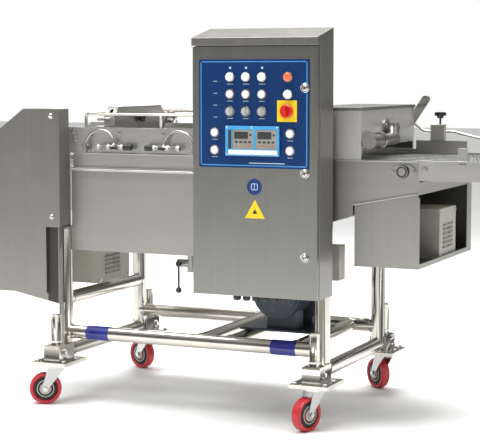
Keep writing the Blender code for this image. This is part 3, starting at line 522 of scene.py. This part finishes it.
def build_panel():
    bm = bmesh.new()
    for tag in "abcdefg":
        spot = centre_of("button_" + tag)
        spot.y = PANEL_FRONT
        add_turned(bm, ((0.0149, 0.0), (0.0190, 0.0), (0.0190, 0.0040), (0.0178, 0.0056),
                        (0.0149, 0.0056)), spot, FORWARD, 32)
    for tag in "abc":
        spot = centre_of("selector_" + tag)
        spot.y = PANEL_FRONT
        add_turned(bm, ((0.0147, 0.0), (0.0200, 0.0), (0.0200, 0.0048), (0.0180, 0.0075),
                        (0.0147, 0.0075)), spot, FORWARD, 32)
    finish("button_bezels", bm, "bright", "door")

    bm = bmesh.new()
    orange = bmesh.new()
    rings = bmesh.new()
    columns = [centre_of("button_" + tag).x for tag in "abc"]
    row_one = 1.2838
    right = at(481.0, 0, 0).x
    row_two = centre_of("button_a").z
    spots = [(x, row_one, bm) for x in columns] + [(right, row_one, orange), (right, row_two, bm)]
    for x, z, target in spots:
        spot = Vector((x, PANEL_FRONT, z))
        add_turned(rings, ((0.0150, 0.0), (0.0190, 0.0), (0.0190, 0.0042), (0.0176, 0.0060),
                           (0.0158, 0.0060)), spot, FORWARD, 32)
        add_turned(target, ((0.0, 0.0003), (0.0157, 0.0003), (0.0157, 0.0085), (0.0145, 0.0105),
                            (0.0110, 0.0120), (0.0060, 0.0128), (0.0, 0.0130)), spot, FORWARD, 32)
    finish("lamp_bezels", rings, "bright", "door")
    finish("white_lamps", bm, "white", "door")
    finish("orange_lamp", orange, "orange", "door")

    bm = bmesh.new()
    for tag in "abcdefg":
        spot = centre_of("button_" + tag)
        add_print(bm, spot.x - 0.011, spot.x + 0.011, spot.z - 0.0262, spot.z - 0.0242)
    for x in columns:
        for z in (row_one, centre_of("selector_a").z):
            add_print(bm, x - 0.012, x + 0.012, z - 0.0266, z - 0.0246)
        add_print(bm, x - 0.004, x + 0.004, row_one + 0.029, row_one + 0.036)
    for k in range(4):
        z = row_two + 0.045 - k * 0.043
        add_print(bm, at(190, 0, 0).x, at(204, 0, 0).x, z, z + 0.002)
    add_slab(bm, on_panel(330, 974, -0.1), on_panel(470, 977, 0.3))
    finish("printed_strips", bm, "ink", "door", flat=True)

    low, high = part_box("control_panel")
    bm = bmesh.new()
    inset = 0.006
    wide = 0.0045
    for x0, x1, z0, z1 in ((low.x + inset, low.x + inset + wide, low.z + inset, high.z - inset),
                           (high.x - inset - wide, high.x - inset, low.z + inset, high.z - inset),
                           (low.x + inset, high.x - inset, low.z + inset, low.z + inset + wide),
                           (low.x + inset, high.x - inset, high.z - inset - wide, high.z - inset)):
        add_print(bm, x0, x1, z0, z1)
    finish("panel_border", bm, "panel_line", "door", flat=True)


def build_screen():
    low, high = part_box("screen_unit")
    front = low.y
    recess = front + 0.0029
    wide = high.x - low.x
    tall = high.z - low.z
    bm = bmesh.new()
    glass = bmesh.new()
    keys = bmesh.new()
    for left, right in ((0.135, 0.525), (0.572, 0.958)):
        x0 = low.x + left * wide + 0.0006
        x1 = low.x + right * wide - 0.0006
        z0 = low.z + 0.235 * tall
        z1 = low.z + 0.872 * tall
        add_slab(bm, (x0, recess - 0.0016, z0), (x1, recess + 0.0004, z1))
        add_slab(glass, (x0 + 0.006, recess - 0.0022, z0 + 0.036), (x1 - 0.020, recess - 0.0010, z1 - 0.007))
        add_bar(glass, (x1 - 0.011, recess - 0.0010, z1 - 0.018),
                (x1 - 0.011, recess - 0.0024, z1 - 0.018), 0.0045, 20)
        for k in range(4):
            x = x0 + 0.009 + k * (x1 - x0 - 0.018) / 3.6
            add_slab(keys, (x, recess - 0.0026, z0 + 0.008), (x + 0.011, recess - 0.0010, z0 + 0.014))
            add_slab(glass, (x, recess - 0.0022, z0 + 0.021), (x + 0.011, recess - 0.0010, z0 + 0.028))
    finish("meter_fronts", bm, "meter", "door", 0.0004)
    finish("meter_windows", glass, "window", "door", 0.0003)
    finish("meter_keys", keys, "amber", "door", 0.0004)
    bm = bmesh.new()
    add_slab(bm, (low.x + 0.06 * wide, front - 0.0012, low.z + 0.045 * tall),
             (high.x - 0.03 * wide, front + 0.0004, low.z + 0.20 * tall))
    finish("screen_strip", bm, "white", "door", 0.0004)
    # a dark strip at the left end of the screen unit, in the meter window colour: painted shadow
    bm = bmesh.new()
    add_slab(bm, (low.x + 0.055 * wide, front - 0.0006, low.z + 0.24 * tall),
             (low.x + 0.115 * wide, front + 0.0004, low.z + 0.87 * tall))
    finish("screen_left_painted_shadow", bm, "window", "door", 0.0002)
    bm = bmesh.new()
    for x in (low.x + 0.007, (low.x + high.x) / 2, high.x - 0.007):
        for z in (low.z + 0.006, high.z - 0.006):
            add_turned(bm, ((0.0, 0.0), (0.0034, 0.0), (0.0034, 0.0008), (0.0022, 0.0018), (0.0, 0.0020)),
                       (x, front, z), FORWARD, 16)
    finish("screen_screws", bm, "bright", "door")


def build_door_fittings():
    bm = bmesh.new()
    for k in (1, 2, 3):
        spot = centre_of("door_lock_%d" % k)
        spot.y = DOOR_FRONT - 0.0003 if k > 1 else PANEL_FRONT
        add_turned(bm, ((0.0136, 0.0), (0.0172, 0.0), (0.0168, 0.0022), (0.0148, 0.0034), (0.0136, 0.0030)),
                   spot, FORWARD, 32)
    finish("lock_rosettes", bm, "bright", "door")
    for k in (1, 2, 3):
        low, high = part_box("door_lock_%d" % k)
        spot = (low + high) / 2
        core = bmesh.new()
        add_bar(core, (spot.x, low.y + 0.0004, spot.z), (spot.x, low.y - 0.0009, spot.z), 0.0042, 3)
        finish("lock_insert_%d" % k, core, "black", "door_lock_%d" % k, 0.0002)
    # signs without wording: a blue disc with a pale open frame, a yellow triangle with a dark wedge
    bm = bmesh.new()
    pale = bmesh.new()
    spot = Vector((at(350, 0, 0).x, DOOR_FRONT, 0.890))
    add_bar(bm, spot + Vector((0, 0.0001, 0)), spot + FORWARD * 0.0005, 0.0292, 48)
    finish("round_sign", bm, "sign_blue", "door", 0.0001)
    for x0, x1, z0, z1 in ((-13, -10.4, -12, 12), (10.4, 13, -12, 12), (-13, 13, 9.6, 12),
                           (-13, 13, -12, -9.6), (-1.2, 1.2, -10, 10)):
        add_slab(pale, spot + Vector((x0 * MM, -0.0007, z0 * MM)), spot + Vector((x1 * MM, -0.0004, z1 * MM)))
    finish("round_sign_mark", pale, "ink", "door", flat=True)
    yellow = bmesh.new()
    dark = bmesh.new()
    base = Vector((at(352, 0, 0).x, DOOR_FRONT, 0.7985))
    for target, size, out in ((yellow, 0.0450, 0.0004), (dark, 0.0115, 0.0007)):
        add_bar(target, base + Vector((0, 0.0001, 0)), base + FORWARD * out, size, 3)
    finish("triangle_sign", yellow, "yellow", "door", 0.0001)
    finish("triangle_sign_mark", dark, "black", "door", 0.0001)
    low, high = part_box("cabinet_door")
    bm = bmesh.new()
    gap = 0.0065
    y0 = high.y - 0.0050
    y1 = high.y - 0.0006
    for x0, x1, z0, z1 in ((low.x + 0.004, low.x + 0.004 + gap, low.z + 0.004, high.z - 0.004),
                           (high.x - 0.004 - gap, high.x - 0.004, low.z + 0.004, high.z - 0.004),
                           (low.x + 0.004, high.x - 0.004, low.z + 0.004, low.z + 0.004 + gap),
                           (low.x + 0.004, high.x - 0.004, high.z - 0.004 - gap, high.z - 0.004)):
        add_slab(bm, (x0, y0, z0), (x1, y1, z1))
    finish("door_gasket", bm, "rubber", "door", 0.0008)


build_panel()
build_screen()
build_door_fittings()


# ---------------------------------------------------------------- cabinet fittings
def build_cabinet_fittings():
    bm = bmesh.new()
    floor = 0.488
    for k in range(6):
        x = at(245 + 38 * k, 0, 0).x
        y = at(0, -411, 0).y
        add_bar(bm, (x, y, floor - 0.0004), (x, y, floor - 0.0110), 0.0165, 6)
        add_turned(bm, ((0.0112, -0.011), (0.0150, -0.011), (0.0150, -0.019), (0.0125, -0.0255),
                        (0.0112, -0.0255)), (x, y, floor), (0, 0, 1), 24)
    finish("cable_glands", bm, "black", "machine", 0.0006)


build_cabinet_fittings()


# ---------------------------------------------------------------- frame: welds, sleeves, clamp bolts
LEGS = [(sx, sy) for sx in (-1, 1) for sy in (-1, 1)]
LEG_X = 545.0
LEG_Y = 311.0
CASTER_Y = 392.0
RAIL_Z = 277.0
SIDE_RAIL_Z = 202.0
UPPER_BAR_Z = 409.0
FOOT_Z = 172.0            # top of the caster plates
CROSS_X = (40.0, 160.0, 430.0)
WELD_OFF = 28.6           # from a leg's centre to the weld round a rail


def build_frame_details():
    bm = bmesh.new()
    for sx, sy in LEGS:
        x = sx * LEG_X
        y = sy * LEG_Y
        add_bead(bm, at(x - sx * WELD_OFF, y, RAIL_Z), (1, 0, 0), 0.0272, 0.0026)
        add_bead(bm, at(x, y - sy * WELD_OFF, SIDE_RAIL_Z), (0, 1, 0), 0.0270, 0.0026)
        add_bead(bm, at(x, y, FOOT_Z + 0.5), (0, 0, 1), 0.0282, 0.0028)
        if sx < 0:
            add_bead(bm, at(x, y - sy * WELD_OFF, UPPER_BAR_Z), (0, 1, 0), 0.0270, 0.0026)
    for x in CROSS_X:
        for sy in (-1, 1):
            add_bead(bm, at(x, sy * (LEG_Y - 27.6), RAIL_Z), (0, 1, 0), 0.0266, 0.0024)
    finish("frame_welds", bm, "bright", "machine")
    bm = bmesh.new()
    rng = random.Random(4)
    for x0, x1 in ((-444.0, -346.0), (345.0, 445.0)):
        a = at(x0, -LEG_Y, RAIL_Z)
        rings = 26
        path = [a + Vector(((x1 - x0) * MM * k / rings, 0, 0)) for k in range(rings + 1)]
        before = len(bm.verts)
        add_tube(bm, path, 0.0288, 40)
        bm.verts.ensure_lookup_table()
        for v in bm.verts[before:]:
            out = Vector((0, v.co.y - a.y, v.co.z - a.z))
            if out.length > 0.02:
                v.co += out.normalized() * (rng.random() - 0.5) * 0.0007
    finish("rail_film_bands", bm, "film", "machine")
    bm = bmesh.new()
    for sx, sy in LEGS:
        x = sx * LEG_X
        y = sy * CASTER_Y
        for dx in (-1, 1):
            add_bolt(bm, at(x + dx * 35, y, FOOT_Z + 32), (dx, 0, 0), 0.017, 0.009)
            for dy in (-44, 44):
                add_bolt(bm, at(x + dx * 58, y + dy, FOOT_Z), (0, 0, 1), 0.014, 0.008)
        add_bar(bm, at(x, y, 353.6), at(x, y, 358.5), 0.0175, 28, 0.0150)
        for z in (215.0, 236.0):
            add_turned(bm, ((0.0191, -0.004), (0.0222, -0.004), (0.0222, 0.004), (0.0191, 0.004)),
                       at(x, y, z + 12), (0, 0, 1), 28)
    finish("leg_fasteners", bm, "bright", "machine", 0.0006)


def build_wheel_details():
    for tag in ("fl", "fr", "bl", "br"):
        low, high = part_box("caster_wheel_" + tag)
        centre = (low + high) / 2
        joint = [j for j in frame["joints"] if j["child"] == "wheel_" + tag][0]
        axis = Vector(joint["axis"]).normalized()
        insert = bmesh.new()
        hub = bmesh.new()
        for side in (-1, 1):
            way = axis * side
            base = centre + way * 0.0131
            add_turned(insert, ((0.0250, 0.0), (0.0462, 0.0), (0.0462, 0.0022), (0.0430, 0.0040),
                                (0.0280, 0.0040), (0.0250, 0.0022)), base, way, 48)
            add_turned(hub, ((0.0066, 0.0062), (0.0232, 0.0062), (0.0232, 0.0078), (0.0190, 0.0092),
                             (0.0110, 0.0092), (0.0066, 0.0074)), base - way * 0.0002, way, 40)
            add_turned(hub, ((0.0300, 0.0041), (0.0345, 0.0041), (0.0345, 0.0056), (0.0300, 0.0056)),
                       base, way, 40)
            for k in range(5):
                a = 2 * math.pi * k / 5
                turn = Matrix.Rotation(a, 3, axis)
                spot = base + turn @ (axis.orthogonal().normalized() * 0.0385)
                add_bar(insert, spot + way * 0.0036, spot + way * 0.0054, 0.0030, 12)
        finish("wheel_disc_" + tag, insert, "rubber", "wheel_" + tag, 0.0004)
        finish("wheel_hub_" + tag, hub, "hub", "wheel_" + tag, 0.0004)
        nuts = bmesh.new()
        for side in (-1, 1):
            way = axis * side
            base = centre + way * 0.0250
            add_bar(nuts, base, base + way * 0.0020, 0.0105, 24)
            add_bar(nuts, base + way * 0.002, base + way * 0.0078, 0.0092, 6)
        swivel = [j for j in frame["joints"] if j["child"] == "fork_" + tag][0]["pos_m"]
        add_turned(nuts, ((0.0300, -0.0145), (0.0392, -0.0130), (0.0400, -0.0090), (0.0392, -0.0020),
                          (0.0300, -0.0012)), swivel, (0, 0, 1), 40)
        finish("fork_nuts_" + tag, nuts, "bright", "fork_" + tag, 0.0005)


build_frame_details()
build_wheel_details()


# ---------------------------------------------------------------- trough, covers, pipes
def build_trough_details():
    bm = bmesh.new()
    for sy in (-1, 1):
        y = at(0, sy * 318.5, 0).y
        end = 101 if sy < 0 else 348
        add_bar(bm, (at(-514, 0, 0).x, y, 0.9215), (at(end, 0, 0).x, y, 0.9215), 0.0050, 20)
    finish("trough_lips", bm, "sheet_along", "machine", 0.0010)
    # the folded ledge half way up each upper side plate
    bm = bmesh.new()
    for sy in (-1, 1):
        inner = at(0, sy * 311.2, 0).y
        outer = at(0, sy * 321.0, 0).y
        add_slab(bm, (at(-516, 0, 0).x, min(inner, outer), 0.9855),
                 (at(100, 0, 0).x, max(inner, outer), 0.9885))
    finish("side_ledges", bm, "sheet_along", "machine", 0.0008)
    bm = bmesh.new()
    for x, z in ((-500, 1040), (-505, 1070)):
        add_bolt(bm, at(x, -311.5, z), (0, -1, 0), 0.010, 0.005)
    for x in (-420, 320):
        add_bolt(bm, at(x, -311.5, 1062), (0, -1, 0), 0.010, 0.005)
    for x in (-300, -112):
        add_bolt(bm, at(x, -311.5, 1066), (0, -1, 0), 0.009, 0.004)
    add_bolt(bm, at(930, -311, 956), (0, -1, 0), 0.015, 0.007)
    for x in (1060, 1074):
        add_bolt(bm, at(x, -311, 976), (0, -1, 0), 0.009, 0.004)
    finish("side_bolts", bm, "bright", "machine", 0.0006)
    # black rubber seal rings on the bearing hub faces, and dark rings round each hub near the side plate that are
    # painted shadow
    bm = bmesh.new()
    for sy in (-1, 1):
        add_turned(bm, ((0.0150, 0.0), (0.0196, 0.0), (0.0190, 0.0012), (0.0150, 0.0012)),
                   at(850, sy * 330.4, 947), (0, sy, 0), 36)
        add_turned(bm, ((0.0222, 0.0), (0.0244, 0.0), (0.0240, 0.0022), (0.0222, 0.0022)),
                   at(850, sy * 317.4, 947), (0, sy, 0), 36)
    finish("bearing_seals_and_painted_shadow_rings", bm, "rubber", "machine")
    bm = bmesh.new()
    for x, z in ((-561, 1132), (-561, 739)):
        y = at(0, -388.2, 0).y
        add_turned(bm, ((0.0, 0.0), (0.0118, 0.0), (0.0118, 0.0015), (0.0104, 0.0020), (0.0098, 0.0050),
                        (0.0060, 0.0088), (0.0, 0.0098)), (at(x, 0, 0).x, y, z * MM), FORWARD, 28)
    finish("cover_cap_nuts", bm, "bright", "machine")
    # the shaded inner pan behind the notch of the drive cover, and the folded edges round it
    bm = bmesh.new()
    corners = [at(x, -374.6, z) for x, z in ((-589, 404), (-539, 394.5), (-539, 701), (-589, 701))]
    face = bm.faces.new([bm.verts.new(c) for c in corners])
    made = bmesh.ops.extrude_face_region(bm, geom=[face])["geom"]
    moved = [g for g in made if isinstance(g, bmesh.types.BMVert)]
    bmesh.ops.translate(bm, verts=moved, vec=(0, 0.0012, 0))
    finish("pan_shadow_sheet", bm, "deep", "machine")
    bm = bmesh.new()
    add_slab(bm, at(-592, -388.6, 436), at(-587.5, -376, 699))
    add_slab(bm, at(-589, -388.4, 697.5), at(-526, -376, 702.0))
    add_slab(bm, at(-541.5, -376, 398), at(-536.8, -361, 700))
    finish("cover_folds", bm, "sheet_up", "machine", 0.0011)
    # folded rims of the infeed end of the trough
    bm = bmesh.new()
    along = (at(908, 0, 864) - at(660, 0, 818)).normalized()
    up = Vector((-along.z, 0, along.x))
    start = at(664, -311.2, 822)
    stop = at(906, -311.2, 867)
    depth = Vector((0, -0.012, 0))
    verts = []
    for spot in (start, stop):
        verts += [bm.verts.new(spot), bm.verts.new(spot + depth), bm.verts.new(spot + depth + up * 0.003),
                  bm.verts.new(spot + up * 0.003)]
    bmesh.ops.convex_hull(bm, input=verts)
    add_slab(bm, at(594.5, -321, 981.5), at(907, -311.2, 985))
    finish("trough_rims", bm, "sheet_along", "machine", 0.0008)


VALVES_MIDDLE = -206.0    # the two valves mirror each other about this place


def build_valve_details():
    bm = bmesh.new()
    y = -331.0
    z = 1013.0
    for s in (-1, 1):
        for offset in (70, 128, 172):
            x = VALVES_MIDDLE + s * offset
            add_bar(bm, at(x - 5, y, z), at(x + 5, y, z), 0.0128, 6)
        for offset in (96, 150):
            x = VALVES_MIDDLE + s * offset
            add_bar(bm, at(x, y + 6, z), at(x, y - 9, z), 0.0118, 24)
            add_turned(bm, ((0.0072, 0.0), (0.0150, 0.0), (0.0145, 0.0030), (0.0072, 0.0036)),
                       at(x, -311.8, z), FORWARD, 28)
        x = VALVES_MIDDLE + s * 236
        add_turned(bm, ((0.0102, 0.0), (0.0175, 0.0), (0.0170, 0.0032), (0.0102, 0.0040)),
                   at(x, -311.8, z - 10), FORWARD, 28)
        add_bar(bm, at(x, y - 6, z + 2), at(x, y - 6, z + 12), 0.0092, 6)
    finish("pipe_unions", bm, "fitting", "machine", 0.0007)
    bm = bmesh.new()
    for s in (-1, 1):
        spot = at(VALVES_MIDDLE + s * 104, y - 10, z - 3)
        add_slab(bm, spot + Vector((-0.013, -0.006, -0.004)), spot + Vector((0.013, 0.001, 0.004)))
        add_bar(bm, spot + Vector((0, 0.004, 0)), spot, 0.0055, 16)
    finish("valve_levers", bm, "black", "machine", 0.0018)


def build_covers():
    bm = bmesh.new()
    for face_x, y0, y1, z0, count in ((900.3, 20, 150, 640, 6), (-459.7, -150, -20, 490, 5)):
        for k in range(count):
            z = z0 + 17 * k + 4
            half = (y1 - y0) / 2 - 6
            for side in (-1, 1):
                middle = (y0 + y1) / 2 + side * half / 2 + side * 3
                a = at(face_x, middle - half / 2 + 4, z)
                b = at(face_x, middle + half / 2 - 4, z + 6)
                verts = add_slab(bm, a, b + Vector((0.005, 0, 0)))
                upper_outer = [v for v in verts if v.co.x > a.x + 0.001 and v.co.z > a.z + 0.003]
                bmesh.ops.translate(bm, verts=upper_outer, vec=(-0.0044, 0, 0))
    finish("louvre_hoods", bm, "beige", "machine", 0.0009)
    bm = bmesh.new()
    for y in (-6, 176):
        for z in (612, 778):
            add_bolt(bm, at(900, y, z), (1, 0, 0), 0.008, 0.004)
    for y in (-188, 48):
        for z in (470, 592):
            add_bolt(bm, at(-460, y, z), (1, 0, 0), 0.008, 0.004)
    finish("cover_screws", bm, "bright", "machine", 0.0004)


def build_machines():
    bm = bmesh.new()
    # cooling ribs round the blower motor, drum flange and its bolts
    for k in range(9):
        y = -168 + k * 17
        add_turned(bm, ((0.0870, -0.0022), (0.0985, -0.0014), (0.0985, 0.0014), (0.0870, 0.0022)),
                   at(300, y, 458), (0, 1, 0), 44)
    add_turned(bm, ((0.1200, -0.006), (0.1385, -0.006), (0.1400, 0.0), (0.1385, 0.006), (0.1200, 0.006)),
               at(300, 2, 458), (0, 1, 0), 56)
    for k in range(12):
        a = 2 * math.pi * (k + 0.5) / 12
        add_bolt(bm, at(300 + 124 * math.cos(a), -6, 458 + 124 * math.sin(a)), (0, -1, 0), 0.012, 0.007)
        add_bolt(bm, at(300 + 112 * math.cos(a), 62, 458 + 112 * math.sin(a)), (0, 1, 0), 0.012, 0.007)
    add_turned(bm, ((0.0300, -0.005), (0.0440, -0.005), (0.0440, 0.005), (0.0300, 0.005)), at(230, 110, 430),
               (0, 1, 0), 36)
    finish("blower_ribs", bm, "cast", "machine", 0.0007)
    bm = bmesh.new()
    for k in range(9):
        add_turned(bm, ((0.0392, -0.0016), (0.0450, -0.0010), (0.0450, 0.0010), (0.0392, 0.0016)),
                   at(452, -150 + k * 15, 590), (0, 1, 0), 36)
    finish("pump_ribs", bm, "cast", "machine", 0.0006)
    bm = bmesh.new()
    for x, z in ((-395, 760), (230, 560)):
        add_turned(bm, ((0.0192, -0.012), (0.0245, -0.012), (0.0252, 0.0), (0.0245, 0.012),
                        (0.0192, 0.012)), at(x, 355, z), (0, 0, 1), 32)
    for y in (320, 250):
        add_turned(bm, ((0.0192, -0.010), (0.0240, -0.010), (0.0240, 0.010), (0.0192, 0.010)),
                   at(-395, y, 1110), (0, 1, 0), 32)
    finish("air_pipe_collars", bm, "bright", "machine", 0.0006)
    bm = bmesh.new()
    add_turned(bm, ((0.0228, -0.009), (0.0300, -0.009), (0.0310, 0.0), (0.0300, 0.009), (0.0228, 0.009)),
               at(718, -180, 1052), (0, 1, 0), 36)
    finish("feed_pipe_clamp", bm, "bright", "machine", 0.0006)


build_trough_details()
build_valve_details()
build_covers()
build_machines()


# ---------------------------------------------------------------- floor, light and camera
def build_stage():
    floor_paint = Paint("pale_floor", 0.75)
    speck = floor_paint.noise(0.5, (1, 1, 1), 2.0, 0.5)
    stops = ((0.3, (0.90, 0.90, 0.90)), (0.7, (0.94, 0.94, 0.94)))
    floor_paint.feed("Base Color", floor_paint.ramp(speck, stops))
    bm = bmesh.new()
    bmesh.ops.create_grid(bm, x_segments=1, y_segments=1, size=30.0)
    mesh = bpy.data.meshes.new("studio_floor")
    bm.to_mesh(mesh)
    bm.free()
    floor = bpy.data.objects.new("studio_floor", mesh)
    mesh.materials.append(floor_paint.mat)
    bpy.context.scene.collection.objects.link(floor)

    world = bpy.data.worlds.new("soft_studio")
    bpy.context.scene.world = world
    world.use_nodes = True
    tree = world.node_tree
    background = tree.nodes["Background"]
    place = tree.nodes.new("ShaderNodeTexCoord")
    split = tree.nodes.new("ShaderNodeSeparateXYZ")
    ramp = tree.nodes.new("ShaderNodeValToRGB")
    lift = tree.nodes.new("ShaderNodeMapRange")
    lift.inputs["From Min"].default_value = -1.0
    lift.inputs["From Max"].default_value = 1.0
    tree.links.new(place.outputs["Generated"], split.inputs[0])
    tree.links.new(split.outputs["Z"], lift.inputs["Value"])
    tree.links.new(lift.outputs[0], ramp.inputs["Fac"])
    stops = ((0.0, 0.50), (0.5, 0.10), (0.60, 0.10), (0.80, 0.65), (1.0, 0.90))
    elements = ramp.color_ramp.elements
    while len(elements) < len(stops):
        elements.new(0.5)
    for stop, (where, level) in zip(elements, stops):
        stop.position = where
        stop.color = (level, level, level * 0.99, 1.0)
    path = tree.nodes.new("ShaderNodeLightPath")
    choose = tree.nodes.new("ShaderNodeMix")
    choose.data_type = "RGBA"
    choose.inputs[7].default_value = (1.0, 1.0, 1.0, 1.0)
    tree.links.new(path.outputs["Is Camera Ray"], choose.inputs[0])
    tree.links.new(ramp.outputs[0], choose.inputs[6])
    tree.links.new(choose.outputs[2], background.inputs["Color"])
    background.inputs["Strength"].default_value = 1.0

    for name, place, aim, size, power in (
            ("key_light", (-1.6, -2.4, 5.4), (0, 0, 0.4), (2.4, 2.4), 170.0),
            ("top_light", (0.4, 0.4, 5.2), (0, 0, 0.2), (4.8, 3.4), 420.0),
            ("left_softbox", (-5.6, -1.4, 1.5), (0, 0, 0.8), (0.6, 2.8), 30.0),
            ("right_softbox", (5.6, -0.6, 1.5), (0, 0, 0.8), (0.6, 2.8), 22.0),
            ("back_softbox", (-3.4, 5.0, 1.7), (0, 0, 0.8), (0.9, 2.8), 40.0)):
        data = bpy.data.lights.new(name, "AREA")
        data.shape = "RECTANGLE"
        data.size = size[0]
        data.size_y = size[1]
        data.energy = power
        lamp = bpy.data.objects.new(name, data)
        lamp.location = place
        lamp.rotation_euler = (Vector(aim) - Vector(place)).to_track_quat("-Z", "Y").to_euler()
        bpy.context.scene.collection.objects.link(lamp)


def build_camera():
    data = bpy.data.cameras.new("camera")
    data.lens = 115.09
    data.sensor_width = 36.0
    data.clip_start = 0.1
    data.clip_end = 100.0
    camera = bpy.data.objects.new("camera", data)
    camera.location = at(2558.96, -5537.15, 1295.94)
    camera.rotation_euler = (math.radians(90.0 - 5.4532), 0.0, math.radians(24.1896))
    bpy.context.scene.collection.objects.link(camera)
    bpy.context.scene.camera = camera


build_stage()
build_camera()
bpy.context.scene.view_settings.view_transform = "Standard"
